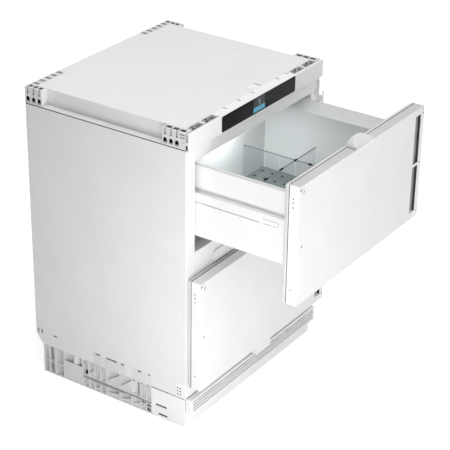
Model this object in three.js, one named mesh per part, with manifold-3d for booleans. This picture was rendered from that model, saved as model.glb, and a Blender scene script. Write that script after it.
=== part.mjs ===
// Undercounter drawer refrigerator: a built-in cabinet for a 600 mm niche, with two insulated
// drawers on telescopic rails, a control fascia, and a cooling machine in its base.
// Millimetres. +Z is up, the drawers open towards -Y, and X = 0 is the plane of symmetry.
// The origin is on the floor, under the middle of the cabinet.
import * as THREE from "three";
import { mergeVertices } from "three/addons/utils/BufferGeometryUtils.js";
import Module from "manifold-3d";

const wasm = await Module();
wasm.setup();

// ---------------------------------------------------------------- driving dimensions
const SEAT = 0.3; // gap kept between two faces that touch
const CUT = 2; // how far a cutting solid runs past the face that it opens

// Cabinet
const CABINET_WIDTH = 595;
const CABINET_HEIGHT = 820;
const CABINET_DEPTH = 500; // from the front of the fascia to the back panel
const SHEET = 1.2; // outer sheet steel
const BASE_HEIGHT = 86;
const HEAD_HEIGHT = 42; // the top cover and the corner blocks stand this far over the sides
const HEAD_INSET = 21.5; // the top cover stands in from the sides by this much
const HEAD_REAR_INSET = 24; // and from the back, at its rear corners
const REAR_CHAMFER = 20; // cut corner at the rear bottom of each side panel
const REAR_CHAMFER_RISE = 26;
const PANEL_SEAM = [2.6, 0.7]; // height and depth of the groove under each side panel's top fold
const PANEL_SLOT = [13, 4]; // oval slot near the rear bottom of each side panel
const PANEL_SLOT_AT = [65, 35]; // its place from the back and from the base's top
const PANEL_MARK = [4, 13]; // upright slots by the rear edge of each side panel: width and height
const PANEL_MARKS_AT = [7.5, 19.5]; // their places from the back
const PANEL_MARK_RISE = 30; // their bottom over the base's top
const MACHINE_HEIGHT = 119; // machine compartment's ceiling over the base's top
const MACHINE_DEPTH = 215;
const FOAM_TOP_DROP = 3; // the insulation stops this far under the top of the cabinet

// Front frame, middle rail and lower corner pieces
const FRAME_SETBACK = 10; // front frame behind the fascia's front
const FRAME_DEPTH = 12;
const FRAME_BORDER = 38.5;
const FRAME_HEAD = 43;
const FRAME_SILL = 66;
const RAIL_HEIGHT = 92; // middle rail between the two openings
const RAIL_DEPTH = 50;
const RAIL_COVER_WIDTH = 374; // raised, round-ended cover on the middle rail
const RAIL_COVER_HEIGHT = 27;
const RAIL_COVER_RISE = 6;
const RAIL_COVER_LIFT = 4; // its middle over the middle of the rail
const LOWER_CORNER_HEIGHT = 41;
const LOWER_CORNER_WIDTH = 39.5;
const LOWER_CORNER_DEPTH = 30;
const LOWER_CORNER_HOLE = 4.5;
const LOWER_CORNER_HOLE_PITCH = [8, 9];

// Inner liner
const LINER_WALL = 2;
const LINER_SIDE_ROOM = 1; // the liner is this much wider than the opening, each side
const LINER_REAR_INSET = 60;
const HUMP_FOAM = 47; // insulation between the liner's hump and the machine compartment
const HUMP_FOAM_TOP = 57;

// Control fascia
const FASCIA_HEIGHT = 46;
const FASCIA_WALL = 4;
const FASCIA_FLANGE = 2.5;
const FASCIA_EDGE = 6; // depth of the top flange beside the display
const FASCIA_TOP_DEPTH = 30; // from the fascia's front to the top cover
const FASCIA_WEB = [16, 7]; // middle web: height over the fascia's bottom, and thickness
const FASCIA_TAB = [30, 27]; // tongue over the top cover: width and length
const FASCIA_TAB_X = 36;
const FASCIA_TAB_SLOT = [3.5, 24]; // slot in the top cover beside the tongue: width and length
const FASCIA_NOTCH = [3.5, 12];
const FASCIA_NOTCH_PITCH = 60;
const FASCIA_NOTCHES = [-2, -1, 0, 1.9, 2.6]; // in pitches from the middle
const DISPLAY_WIDTH = 327;
const DISPLAY_BORDER = 2;
const DISPLAY_GLASS = 2;
const DISPLAY_RADIUS = 5;

// Corner blocks on the head
const BLOCK_ARM = 110; // length of the arm along X, from the side arm
const BLOCK_FRONT_SIDE = 68; // length of a front block's side arm along Y
const BLOCK_REAR_SIDE = 54;
const BLOCK_ARM_DROP = 21; // height of a front block's cross arm
const BLOCK_POCKETS = 5; // pockets in the top of a rear block's cross arm
const BLOCK_FRONT_POCKETS = 2; // in a front block's
const BLOCK_POCKET_GAP = 10; // between them
const BLOCK_POCKET_RIM = [3.5, 1.5]; // beside the top cover, and at the rear
const BLOCK_SIDE_POCKETS = 3; // pockets in the top of a side arm
const BLOCK_POCKET_WALL = 6;
const BLOCK_POCKET_DEPTH = 12;
const BLOCK_HOLES = 3; // holes in the side of a block
const BLOCK_HOLE = [12, 15, 14]; // width, height and depth of an arched hole
const BLOCK_GROOVE = [5, 17, 4]; // width, height and depth of an upright groove
const BLOCK_LATCH = [15, 2.4, 3]; // length, height and depth of the level slots by a front block's end
const BLOCK_LATCH_DROP = [4.8, 12.3]; // under the block's top
const BLOCK_LATCH_INSET = 2.5;
const BLOCK_DOT = [3, 23]; // small hole under them: size, and drop under the block's top

// Base
const BASE_REAR_INSET = 22;
const BASE_FLOOR = 3;
const BASE_WALL = 2.5;
const BASE_WEB_INSET = 13; // the base's upright web stands in from the side
const BASE_RIB_INSET = 1; // its flanges stop short of the side panel's face
const BASE_RIB_STEP = 0.5; // its ribs stop short of the flanges
const BASE_SHELF_Z = 36;
const BASE_BAYS = [15, 18, 27, 58, 19, 18, 17, 18, 40, 35, 28, 16, 15]; // rear to front
const BASE_CLOSED_BAY = 3; // the bay that a plain panel closes
const BASE_CLOSED_HEIGHT = 57;
const BASE_REAR_LIP = 40;
const BASE_TAB_HEIGHT = 34; // clip tabs in notches of the side panel
// Each tab's ends along the base, from its front
const BASE_TABS = [[0.008, 0.032], [0.045, 0.165], [0.238, 0.277], [0.291, 0.424], [0.449, 0.521]];
const BASE_TAB_SLOTS = [5, 12, 9, 34, 15]; // length of the slot near the top of each tab
const BASE_TAB_SLOT = [4, 1.8]; // its height, and its distance from the tab's top
const COVER_LENGTH = 104; // side cover at the base's front
const COVER_WALL = 3;
const COVER_SEAM = 2.6; // between the side cover and the side panel
const COVER_SLOTS = [[10.5, 21, 29], [36.5, 13, 35]]; // height, distance from the cover's rear end, length
const COVER_SLOT_HEIGHT = 5.5;
const PLINTH_HEIGHT = 44;
const PLINTH_WALL = 3;
const GRILLE_RISE = 18; // the grille stands this far in front of the frame
const GRILLE_SLOTS = 4;
const GRILLE_SLOT = 4;
const GRILLE_WALL = 3;
const GRILLE_SIDE_INSET = 3.5;
const GRILLE_BARS = 3;

// Levelling feet
const FOOT_INSET_X = 37;
const FOOT_INSET_Y = 38;
const FOOT_RADIUS = 20;
const FOOT_PAD = 6;
const STEM_RADIUS = 5;
const STEM_LENGTH = 74;
const STEM_PLAY = 0.5;
const BOSS_RADIUS = 13;
const BOSS_Z = [12, 42];
const BOSS_ARM = 20; // width of the arm that carries a boss

// Drawer fronts
const FRONT_SIDE_GAP = 5.5; // a front is this much narrower than the cabinet, each side
const FRONT_TOP_GAP = 6; // under the fascia
const FRONT_GAP = 31; // between the two fronts
const FRONT_BOTTOM_RISE = 37; // over the base's top
const LOWER_FRONT_RISE = 168; // top of the lower front over the liner's hump, which its rails clear
const FRONT_SKIN_DEPTH = 29.3;
const FRONT_PLUG = 5;
const GASKET_DEPTH = 6.4;
const GASKET_WIDTH = 16;
const GASKET_INSET = 4;
const CHANNEL_WIDTH = 28.5; // deep channel beside the fixing strip
const CHANNEL_INSET = 12.5;
const CHANNEL_END = 18;
const CHANNEL_DEPTH = 8;
const STRIP_RISE = 1.5;
const STRIP_WIDTH = 11;
const STRIP_HOLE = 2.4;
const STRIP_HOLE_END = 17;
const STRIP_END = 9; // the strip stops this far from the front's top and bottom
const STRIP_TIE = 7;
const TAB_WIDTH = 82; // rounded fixing tab on top of a front
const TAB_HEIGHT = 17;
const TAB_NOSE = 4; // its height at the front
const TAB_SETBACK = 3;
const TAB_ROOT = 2.1; // the inner panel lies this far in front of the tab's back
const LIP_WIDTH = 61; // lip under the lower front
const LIP_DROP = 23;
const LIP_DEPTH = 20;

// Drawers: tub, sides and telescopic rails
const UPPER_OPEN = 270; // how far the upper drawer stands open at rest
const RAIL_SHARE = 0.5; // the middle rail travels half as far as its drawer
const TUB_REAR_ROOM = 47.7; // from a closed tub's back to the liner's
const TUB_WALL = 3;
const RIM_PLAY = 14; // the tub's rim stands in from the opening's side by this much
const RIM_WIDTH = 26;
const TUB_TAPER = 5; // each wall leans out by this much
const RIM_EDGE = 4;
const RIM_FLARE = 23;
const RIM_DROP = 42; // rim under the front's top
const TUB_BOTTOM_RISE = 51; // tub over the front's bottom
const TUB_STEP_ROOM = 10; // lower tub's clearance to the liner's hump
const SIDE_SHEET = 1.5;
const SIDE_WALL_HEIGHT = 64; // upper band of a drawer side, from the rim
const SIDE_GROOVE = [10, 7]; // groove under it: height and depth
const SIDE_COVER_OUT = 10; // rail cover stands out this far
const SIDE_COVER_HEIGHT = 24;
const SKIRT_RISE = 76; // skirt of the upper drawer's sides, over the front's bottom
const SIDE_SEAM = 1.4; // slit between cover and skirt
const SIDE_SEAM_STOP = 96; // the slit ends this far behind the front
const SIDE_RETURN = 5;
const RUNNER_PAST_TUB = 11.7;
const RUNNER_SHEET = 2;
const RUNNER_HEIGHT = 28;
const RUNNER_LIP = 2;
const RUNNER_INSET = 18; // web of the drawer's rail member, in from the rim
const RUNNER_STEP = 4.5; // from one member's web to the next
const RUNNER_FOOT_DROP = 22; // cabinet member reaches this far below the others
const RUNNER_MIDDLE_SHORT = 10;

// Inside the upper drawer
const MAT_THICKNESS = 2;
const MAT_MARGIN = 5;
const DIVIDER_TOP = 98; // over the tub's floor
const DIVIDER_SHEET = 3;
const DIVIDER_X = 112;
const DIVIDER_CROSS_Y = 223; // from the front inside wall of the tub
const DIVIDER_CROSS_END = -34;
const DIVIDER_SLOTS = 7;
const DIVIDER_SLOT_PITCH = 47;

// Cooling machine
const EVAP_COVER_GAP = 16; // in front of the cover, behind a closed drawer
const EVAP_COVER_SIDE = 6; // the cover stands in from the liner's sides
const EVAP_COVER_TOP_DROP = 7;
const EVAP_COVER_LIFT = 13;
const EVAP_HEIGHT = 220;
const EVAP_SIDE_ROOM = 55; // from the liner's left side to the evaporator
const EVAP_FAN_ROOM = 85; // from the evaporator to the middle of the fan
const EVAP_FINS = 14;
const EVAP_FIN_GAP = 9;
const EVAP_FAN_AT = [110, 95]; // in from the liner's right side, and down from the opening's top
const EVAP_FAN_RADIUS = 42;
const FAN_DEPTH = 12;
const FAN_BLADES = 5;
const FAN_HUB = 15;
const FAN_PLAY = 4;
const LAMP_SIZE = [120, 30, 6];
const LAMP_FRONT = 50; // behind the front frame
const COMPRESSOR_AT = [157.5, 110]; // in from the left side, and from the back
const COMPRESSOR_FOOT_RADIUS = 9;
const COMPRESSOR_PLATE = 3;
const COMPRESSOR_RADIUS = 72;
const COMPRESSOR_HEIGHT = 172;
const TRAY_SIZE = [190, 130, 18];
const TRAY_WALL = 2;
const COND_LEFT_X = 36; // beside the shroud, which stands in the middle
const COND_PLAY = 6; // between the condenser and the power inlet
const COND_DEPTH = 110;
const COND_HEIGHT = 125;
const COND_FINS = 10;
const COND_FIN_GAP = 6;
const SHROUD_SIZE = [150, 140];
const SHROUD_WALL = 4;
const COND_FAN_RADIUS = 52;
const COND_FAN_Z = 76;
const MOTOR_LENGTH = 26;
const INLET_SIZE = [50, 36, 56];
const INLET_PLAY = 0.5; // between the power inlet and the levelling foot
const INLET_PIN = [2, 6, 7]; // width, height and pitch
const INLET_MOUTH = [30, 22, 14];

// ---------------------------------------------------------------- derived planes
const HALF = CABINET_WIDTH / 2;
const FASCIA_Y = -CABINET_DEPTH / 2;
const REAR_Y = CABINET_DEPTH / 2;
const HEAD_Z = CABINET_HEIGHT - HEAD_HEIGHT;
const HEAD_HALF = HALF - HEAD_INSET;
const BLOCK_ARM_END = HEAD_HALF - BLOCK_ARM;
const COVER_FRONT_Y = FASCIA_Y + FASCIA_TOP_DEPTH;
const COVER_REAR_Y = REAR_Y - HEAD_REAR_INSET;
const FRAME_Y = FASCIA_Y + FRAME_SETBACK;
const FRAME_REAR_Y = FRAME_Y + FRAME_DEPTH;
const INSIDE_HALF = HALF - SHEET - SEAT; // what fits between the side panels
const SHELL_TOP_Z = HEAD_Z - SHEET - SEAT; // what fits under their top flanges
const SHELL_BOTTOM_Z = BASE_HEIGHT + SEAT;
const OPENING_HALF = HALF - FRAME_BORDER;
const OPENING_TOP_Z = HEAD_Z - FRAME_HEAD;
const OPENING_BOTTOM_Z = BASE_HEIGHT + FRAME_SILL;
const LINER_HALF = OPENING_HALF + LINER_SIDE_ROOM;
const LINER_REAR_Y = REAR_Y - LINER_REAR_INSET;
const MACHINE_TOP_Z = BASE_HEIGHT + MACHINE_HEIGHT;
const MACHINE_FRONT_Y = REAR_Y - MACHINE_DEPTH;
const HUMP_TOP_Z = MACHINE_TOP_Z + HUMP_FOAM_TOP;
const HUMP_FRONT_Y = MACHINE_FRONT_Y - HUMP_FOAM;
const RIM_HALF = OPENING_HALF - RIM_PLAY;
const TUB_TOP_HALF = RIM_HALF - RIM_WIDTH;
const TUB_FLOOR_HALF = TUB_TOP_HALF - TUB_TAPER;
const RUNNER_DRAWER_HALF = RIM_HALF - RUNNER_INSET;
const EVAP_COVER_HALF = LINER_HALF - EVAP_COVER_SIDE;
const LOWER_CORNER_TOP_Z = SHELL_BOTTOM_Z + LOWER_CORNER_HEIGHT;
const FASCIA_BOTTOM_Z = CABINET_HEIGHT - FASCIA_HEIGHT;
const BASE_REAR_Y = REAR_Y - BASE_REAR_INSET;
const BASE_WEB_HALF = HALF - BASE_WEB_INSET;
const COVER_END_Y = FRAME_Y + PLINTH_WALL + COVER_LENGTH;

const FRONT_HALF = HALF - FRONT_SIDE_GAP;
const UPPER_FRONT_TOP_Z = FASCIA_BOTTOM_Z - FRONT_TOP_GAP;
const LOWER_FRONT_BOTTOM_Z = BASE_HEIGHT + FRONT_BOTTOM_RISE;
const LOWER_FRONT_TOP_Z = HUMP_TOP_Z + LOWER_FRONT_RISE;
const UPPER_FRONT_BOTTOM_Z = LOWER_FRONT_TOP_Z + FRONT_GAP;
const RAIL_MIDDLE_Z = LOWER_FRONT_TOP_Z + FRONT_GAP / 2;
// Planes of a closed drawer
const GASKET_REAR_Y = FRAME_Y - SEAT;
const GASKET_FRONT_Y = GASKET_REAR_Y - GASKET_DEPTH;
const INNER_REAR_Y = GASKET_FRONT_Y - SEAT;
const TAB_REAR_Y = FASCIA_Y - SEAT;
const INNER_FRONT_Y = TAB_REAR_Y - TAB_ROOT;
const SKIN_REAR_Y = INNER_FRONT_Y - SEAT;
const SKIN_FRONT_Y = SKIN_REAR_Y - FRONT_SKIN_DEPTH;
const TUB_FRONT_Y = INNER_REAR_Y + SEAT;
const TUB_REAR_Y = LINER_REAR_Y - TUB_REAR_ROOM;
const RUNNER_FRONT_Y = FRAME_REAR_Y + CUT;
const RUNNER_REAR_Y = TUB_REAR_Y + RUNNER_PAST_TUB;
const EVAP_COVER_Y = TUB_REAR_Y + EVAP_COVER_GAP;

// ---------------------------------------------------------------- materials
const paint = (color, roughness, metalness = 0) =>
  new THREE.MeshStandardMaterial({ color, roughness, metalness });
const whiteSteel = paint(0xe9e9e8, 0.45, 0.1);
const greySteel = paint(0xdad8d5, 0.5, 0.1);
const whitePlastic = paint(0xf1f1ef, 0.5);
const greyPlastic = paint(0xc9cacb, 0.55);
const tubPlastic = paint(0xcfd8d8, 0.4);
const gasketRubber = paint(0x8f8f8d, 0.8);
const matRubber = paint(0x6f7675, 0.85);
const blackGlass = paint(0x101112, 0.12);
const zincSteel = paint(0xb9bcbf, 0.35, 0.8);
const blackSteel = paint(0x1c1d1f, 0.45, 0.4);
const finAluminium = paint(0xc4c8cb, 0.4, 0.8);
const blackPlastic = paint(0x232426, 0.55);
const foamYellow = paint(0xe6dcb4, 0.95);
const lampPlastic = paint(0xf4faff, 0.2);
const clearPlastic = new THREE.MeshStandardMaterial({
  color: 0xdfe8e8,
  roughness: 0.1,
  transparent: true,
  opacity: 0.35,
});

// ---------------------------------------------------------------- building tools
// A closed three.js geometry as a solid that can be joined and cut.
function solid(geometry) {
  const bare = geometry.index ? geometry.toNonIndexed() : geometry.clone();
  bare.deleteAttribute("normal");
  bare.deleteAttribute("uv");
  const merged = mergeVertices(bare, 1e-4);
  return new wasm.Manifold(
    new wasm.Mesh({
      numProp: 3,
      vertProperties: new Float32Array(merged.attributes.position.array),
      triVerts: new Uint32Array(merged.index.array),
    }),
  );
}

function span(a, b) {
  return { size: Math.abs(b - a), middle: (a + b) / 2 };
}

// A box between two x, two y and two z planes, given in either order.
function block(x0, x1, y0, y1, z0, z1) {
  const x = span(x0, x1);
  const y = span(y0, y1);
  const z = span(z0, z1);
  const box = new THREE.BoxGeometry(x.size, y.size, z.size);
  return solid(box.translate(x.middle, y.middle, z.middle));
}

// A shape drawn on (y, z) and extruded from x0 to x1.
function alongX(shape, x0, x1) {
  const x = span(x0, x1);
  const turned = new THREE.Matrix4().makeBasis(
    new THREE.Vector3(0, 1, 0),
    new THREE.Vector3(0, 0, 1),
    new THREE.Vector3(1, 0, 0),
  );
  const body = new THREE.ExtrudeGeometry(shape, { depth: x.size, bevelEnabled: false, curveSegments: 6 });
  return solid(body.applyMatrix4(turned).translate(x.middle - x.size / 2, 0, 0));
}

// A shape drawn on (x, z) and extruded from y0 to y1.
function alongY(shape, y0, y1) {
  const y = span(y0, y1);
  const turned = new THREE.Matrix4().makeBasis(
    new THREE.Vector3(1, 0, 0),
    new THREE.Vector3(0, 0, 1),
    new THREE.Vector3(0, -1, 0),
  );
  const body = new THREE.ExtrudeGeometry(shape, { depth: y.size, bevelEnabled: false, curveSegments: 6 });
  return solid(body.applyMatrix4(turned).translate(0, y.middle + y.size / 2, 0));
}

function outline(points) {
  return new THREE.Shape(points.map(([u, v]) => new THREE.Vector2(u, v)));
}

// A rectangle with round corners.
function roundRect(u0, u1, v0, v1, radius) {
  const r = Math.min(radius, (u1 - u0) / 2 - 0.01, (v1 - v0) / 2 - 0.01);
  const shape = new THREE.Shape();
  shape.absarc(u1 - r, v0 + r, r, -Math.PI / 2, 0, false);
  shape.absarc(u1 - r, v1 - r, r, 0, Math.PI / 2, false);
  shape.absarc(u0 + r, v1 - r, r, Math.PI / 2, Math.PI, false);
  shape.absarc(u0 + r, v0 + r, r, Math.PI, 1.5 * Math.PI, false);
  return shape;
}

// An arch that stands on v, centred on u.
function arch(u, v, width, height) {
  const shape = new THREE.Shape();
  shape.moveTo(u - width / 2, v);
  shape.lineTo(u + width / 2, v);
  shape.absarc(u, v + height - width / 2, width / 2, 0, Math.PI, false);
  return shape;
}

// A round bar along "x", "y" or "z", through (u, v) on the plane square to it.
function bar(axis, u, v, radius, from, to, sides = 16) {
  const length = span(from, to);
  const rod = new THREE.CylinderGeometry(radius, radius, length.size, sides);
  if (axis === "x") rod.rotateZ(Math.PI / 2).translate(length.middle, u, v);
  if (axis === "y") rod.translate(u, length.middle, v);
  if (axis === "z") rod.rotateX(Math.PI / 2).translate(u, v, length.middle);
  return solid(rod);
}

const join = (first, ...rest) => rest.reduce((sum, next) => sum.add(next), first);
const cut = (first, ...rest) => rest.reduce((left, next) => left.subtract(next), first);
const count = (n) => Array.from({ length: n }, (_, i) => i);

function mesh(name, body, material) {
  const shape = body.getMesh();
  const geometry = new THREE.BufferGeometry();
  geometry.setAttribute("position", new THREE.BufferAttribute(new Float32Array(shape.vertProperties), 3));
  geometry.setIndex(new THREE.BufferAttribute(new Uint32Array(shape.triVerts), 1));
  geometry.computeVertexNormals();
  const piece = new THREE.Mesh(geometry, material);
  piece.name = name;
  return piece;
}

const SIDES = [
  ["left", -1],
  ["right", 1],
];

// ---------------------------------------------------------------- cabinet shell
function baseTabSpans() {
  const length = BASE_REAR_Y - COVER_END_Y;
  return BASE_TABS.map(([from, to]) => [COVER_END_Y + from * length, COVER_END_Y + to * length]);
}

function sidePanel(side) {
  const tabTop = SHELL_BOTTOM_Z + BASE_TAB_HEIGHT;
  const points = [
    [FRAME_Y, LOWER_CORNER_TOP_Z + SEAT],
    [FRAME_Y, HEAD_Z],
    [REAR_Y, HEAD_Z],
    [REAR_Y, SHELL_BOTTOM_Z + REAR_CHAMFER_RISE],
    [REAR_Y - REAR_CHAMFER, SHELL_BOTTOM_Z],
    [FRAME_Y + LOWER_CORNER_DEPTH + SEAT, SHELL_BOTTOM_Z],
    [FRAME_Y + LOWER_CORNER_DEPTH + SEAT, LOWER_CORNER_TOP_Z + SEAT],
  ];
  const sheet = alongX(outline(points), side * (HALF - SHEET), side * HALF);
  const flange = block(side * (HEAD_HALF + SEAT), side * HALF, FRAME_Y, REAR_Y, HEAD_Z - SHEET, HEAD_Z);
  const notches = baseTabSpans().map(([y0, y1]) =>
    block(side * (HALF - SHEET - CUT), side * (HALF + CUT), y0 - SEAT, y1 + SEAT,
      SHELL_BOTTOM_Z - CUT, tabTop + SEAT));
  const [slotLength, slotHeight] = PANEL_SLOT;
  const slotY = REAR_Y - PANEL_SLOT_AT[0];
  const slotZ = BASE_HEIGHT + PANEL_SLOT_AT[1];
  const slot = alongX(
    roundRect(slotY - slotLength / 2, slotY + slotLength / 2, slotZ - slotHeight / 2,
      slotZ + slotHeight / 2, slotHeight / 2),
    side * (HALF - SHEET - CUT), side * (HALF + CUT));
  const [markWidth, markHeight] = PANEL_MARK;
  const markZ = BASE_HEIGHT + PANEL_MARK_RISE;
  const marks = PANEL_MARKS_AT.map((inset) =>
    block(side * (HALF - SHEET - CUT), side * (HALF + CUT), REAR_Y - inset - markWidth / 2,
      REAR_Y - inset + markWidth / 2, markZ, markZ + markHeight));
  const [seamHeight, seamDepth] = PANEL_SEAM;
  const seam = block(side * (HALF - seamDepth), side * (HALF + CUT), FRAME_Y - CUT, REAR_Y + CUT,
    HEAD_Z - SHEET - seamHeight, HEAD_Z - SHEET);
  return cut(join(sheet, flange), slot, seam, ...marks, ...notches);
}

function backPanel() {
  const sheet = block(-INSIDE_HALF, INSIDE_HALF, REAR_Y - SHEET, REAR_Y, MACHINE_TOP_Z, SHELL_TOP_Z);
  const flange = block(-HEAD_HALF, HEAD_HALF, COVER_REAR_Y + SEAT, REAR_Y, SHELL_TOP_Z - SHEET, SHELL_TOP_Z);
  return join(sheet, flange);
}

function fasciaTab(grow) {
  const [width, length] = FASCIA_TAB;
  return block(FASCIA_TAB_X - width / 2 - grow, FASCIA_TAB_X + width / 2 + grow,
    FASCIA_Y + FASCIA_EDGE, COVER_FRONT_Y + length + grow,
    CABINET_HEIGHT - FASCIA_FLANGE - grow, CABINET_HEIGHT + 4 * grow);
}

function topCover() {
  // Between the rear corner blocks it reaches back to the rear face.
  const body = (inset, z0, z1) => join(
    block(-HEAD_HALF + inset, HEAD_HALF - inset, COVER_FRONT_Y + inset, COVER_REAR_Y - inset, z0, z1),
    block(-BLOCK_ARM_END + inset, BLOCK_ARM_END - inset, COVER_FRONT_Y + inset, REAR_Y - inset, z0, z1),
  );
  const shell = body(0, HEAD_Z + SEAT, CABINET_HEIGHT);
  const inside = body(SHEET, HEAD_Z - CUT, CABINET_HEIGHT - SHEET);
  const [slotWidth, slotLength] = FASCIA_TAB_SLOT;
  const tabSide = FASCIA_TAB_X + FASCIA_TAB[0] / 2;
  const slot = block(tabSide, tabSide + slotWidth, COVER_FRONT_Y + SHEET + SEAT, COVER_FRONT_Y + slotLength,
    CABINET_HEIGHT - SHEET - CUT, CABINET_HEIGHT + CUT);
  return cut(shell, inside, fasciaTab(SEAT), slot);
}

// The cabinet's inside, seen from the side, grown outwards by the given amount.
function linerOutline(grow, frontY) {
  const bottom = OPENING_BOTTOM_Z - LINER_WALL - grow;
  const top = OPENING_TOP_Z + LINER_WALL + grow;
  return outline([
    [frontY, bottom],
    [HUMP_FRONT_Y + grow, bottom],
    [HUMP_FRONT_Y + grow, HUMP_TOP_Z - grow],
    [LINER_REAR_Y + grow, HUMP_TOP_Z - grow],
    [LINER_REAR_Y + grow, top],
    [frontY, top],
  ]);
}

function innerLiner() {
  const front = FRAME_REAR_Y + SEAT;
  const outer = alongX(linerOutline(LINER_WALL, front), -LINER_HALF - LINER_WALL, LINER_HALF + LINER_WALL);
  return cut(outer, alongX(linerOutline(0, front - CUT), -LINER_HALF, LINER_HALF));
}

function insulationFoam() {
  const front = FRAME_REAR_Y + SEAT;
  const rear = REAR_Y - SHEET - SEAT;
  const body = block(-INSIDE_HALF, INSIDE_HALF, front, rear, SHELL_BOTTOM_Z + SHEET,
    SHELL_TOP_Z - SHEET - SEAT);
  const head = block(-HEAD_HALF + SHEET + SEAT, HEAD_HALF - SHEET - SEAT, COVER_FRONT_Y + SHEET + SEAT,
    COVER_REAR_Y - SHEET - SEAT, OPENING_TOP_Z, CABINET_HEIGHT - FOAM_TOP_DROP);
  const pocketHalf = LINER_HALF + LINER_WALL + SEAT;
  const pocket = alongX(linerOutline(LINER_WALL + SEAT, front - CUT), -pocketHalf, pocketHalf);
  const machine = block(-HALF, HALF, MACHINE_FRONT_Y, REAR_Y + CUT, 0, MACHINE_TOP_Z);
  return cut(join(body, head), pocket, machine);
}

// ---------------------------------------------------------------- front of the cabinet
function frontFrame() {
  const plate = block(-INSIDE_HALF, INSIDE_HALF, FRAME_Y, FRAME_REAR_Y, SHELL_BOTTOM_Z, SHELL_TOP_Z);
  const opening = block(-OPENING_HALF, OPENING_HALF, FRAME_Y - CUT, FRAME_REAR_Y + CUT,
    OPENING_BOTTOM_Z, OPENING_TOP_Z);
  const corners = SIDES.map(([, side]) =>
    block(side * (HALF - LOWER_CORNER_WIDTH - SEAT), side * HALF, FRAME_Y - CUT, FRAME_REAR_Y + CUT,
      SHELL_BOTTOM_Z - CUT, LOWER_CORNER_TOP_Z + SEAT));
  return cut(plate, opening, ...corners);
}

function middleRail() {
  const beam = block(-OPENING_HALF + SEAT, OPENING_HALF - SEAT, FRAME_Y, FRAME_Y + RAIL_DEPTH,
    RAIL_MIDDLE_Z - RAIL_HEIGHT / 2, RAIL_MIDDLE_Z + RAIL_HEIGHT / 2);
  const middle = RAIL_MIDDLE_Z + RAIL_COVER_LIFT;
  const cover = roundRect(-RAIL_COVER_WIDTH / 2, RAIL_COVER_WIDTH / 2, middle - RAIL_COVER_HEIGHT / 2,
    middle + RAIL_COVER_HEIGHT / 2, RAIL_COVER_HEIGHT / 2);
  return join(beam, alongY(cover, FRAME_Y - RAIL_COVER_RISE, FRAME_Y + CUT));
}

function lowerCorner(side) {
  const inner = HALF - LOWER_CORNER_WIDTH;
  const face = block(side * inner, side * HALF, FRAME_Y, FRAME_REAR_Y, SHELL_BOTTOM_Z, LOWER_CORNER_TOP_Z);
  const skin = block(side * (HALF - SHEET), side * HALF, FRAME_Y, FRAME_Y + LOWER_CORNER_DEPTH,
    SHELL_BOTTOM_Z, LOWER_CORNER_TOP_Z);
  const [pitchY, pitchZ] = LOWER_CORNER_HOLE_PITCH;
  const half = LOWER_CORNER_HOLE / 2;
  const holes = count(6).map((i) => {
    const y = FRAME_REAR_Y + pitchY * (0.5 + (i % 2));
    const z = SHELL_BOTTOM_Z + pitchZ * (1 + Math.floor(i / 2));
    return block(side * (HALF - SHEET - CUT), side * (HALF + CUT), y - half, y + half, z - half, z + half);
  });
  return cut(join(face, skin), ...holes);
}

function displayOutline(grow) {
  return roundRect(-DISPLAY_WIDTH / 2 - grow, DISPLAY_WIDTH / 2 + grow,
    FASCIA_BOTTOM_Z + DISPLAY_BORDER - grow, CABINET_HEIGHT - DISPLAY_BORDER + grow, DISPLAY_RADIUS + grow);
}

function controlFascia() {
  const back = FRAME_Y - SEAT;
  const [webZ, webThick] = FASCIA_WEB;
  const wall = block(-HALF, HALF, FASCIA_Y, FASCIA_Y + FASCIA_WALL, FASCIA_BOTTOM_Z, CABINET_HEIGHT);
  const edge = block(-HALF, HALF, FASCIA_Y, FASCIA_Y + FASCIA_EDGE,
    CABINET_HEIGHT - FASCIA_FLANGE, CABINET_HEIGHT);
  const web = block(-HALF, HALF, FASCIA_Y, back, FASCIA_BOTTOM_Z + webZ, FASCIA_BOTTOM_Z + webZ + webThick);
  const foot = block(-HALF, HALF, FASCIA_Y, back, FASCIA_BOTTOM_Z, FASCIA_BOTTOM_Z + FASCIA_FLANGE);
  const top = block(-BLOCK_ARM_END, BLOCK_ARM_END, FASCIA_Y, COVER_FRONT_Y - SEAT,
    CABINET_HEIGHT - FASCIA_FLANGE, CABINET_HEIGHT);
  const [notchWidth, notchDepth] = FASCIA_NOTCH;
  const notches = FASCIA_NOTCHES.map((step) => {
    const x = step * FASCIA_NOTCH_PITCH;
    return block(x, x + notchWidth, COVER_FRONT_Y - SEAT - notchDepth, COVER_FRONT_Y + CUT,
      CABINET_HEIGHT - FASCIA_FLANGE - CUT, CABINET_HEIGHT + CUT);
  });
  const pocket = alongY(displayOutline(SEAT), FASCIA_Y - CUT, FASCIA_Y + DISPLAY_GLASS + SEAT);
  return cut(join(cut(join(wall, edge, web, foot, top), ...notches), fasciaTab(0)), pocket);
}

function displayGlass() {
  return alongY(displayOutline(0), FASCIA_Y, FASCIA_Y + DISPLAY_GLASS);
}

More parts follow.
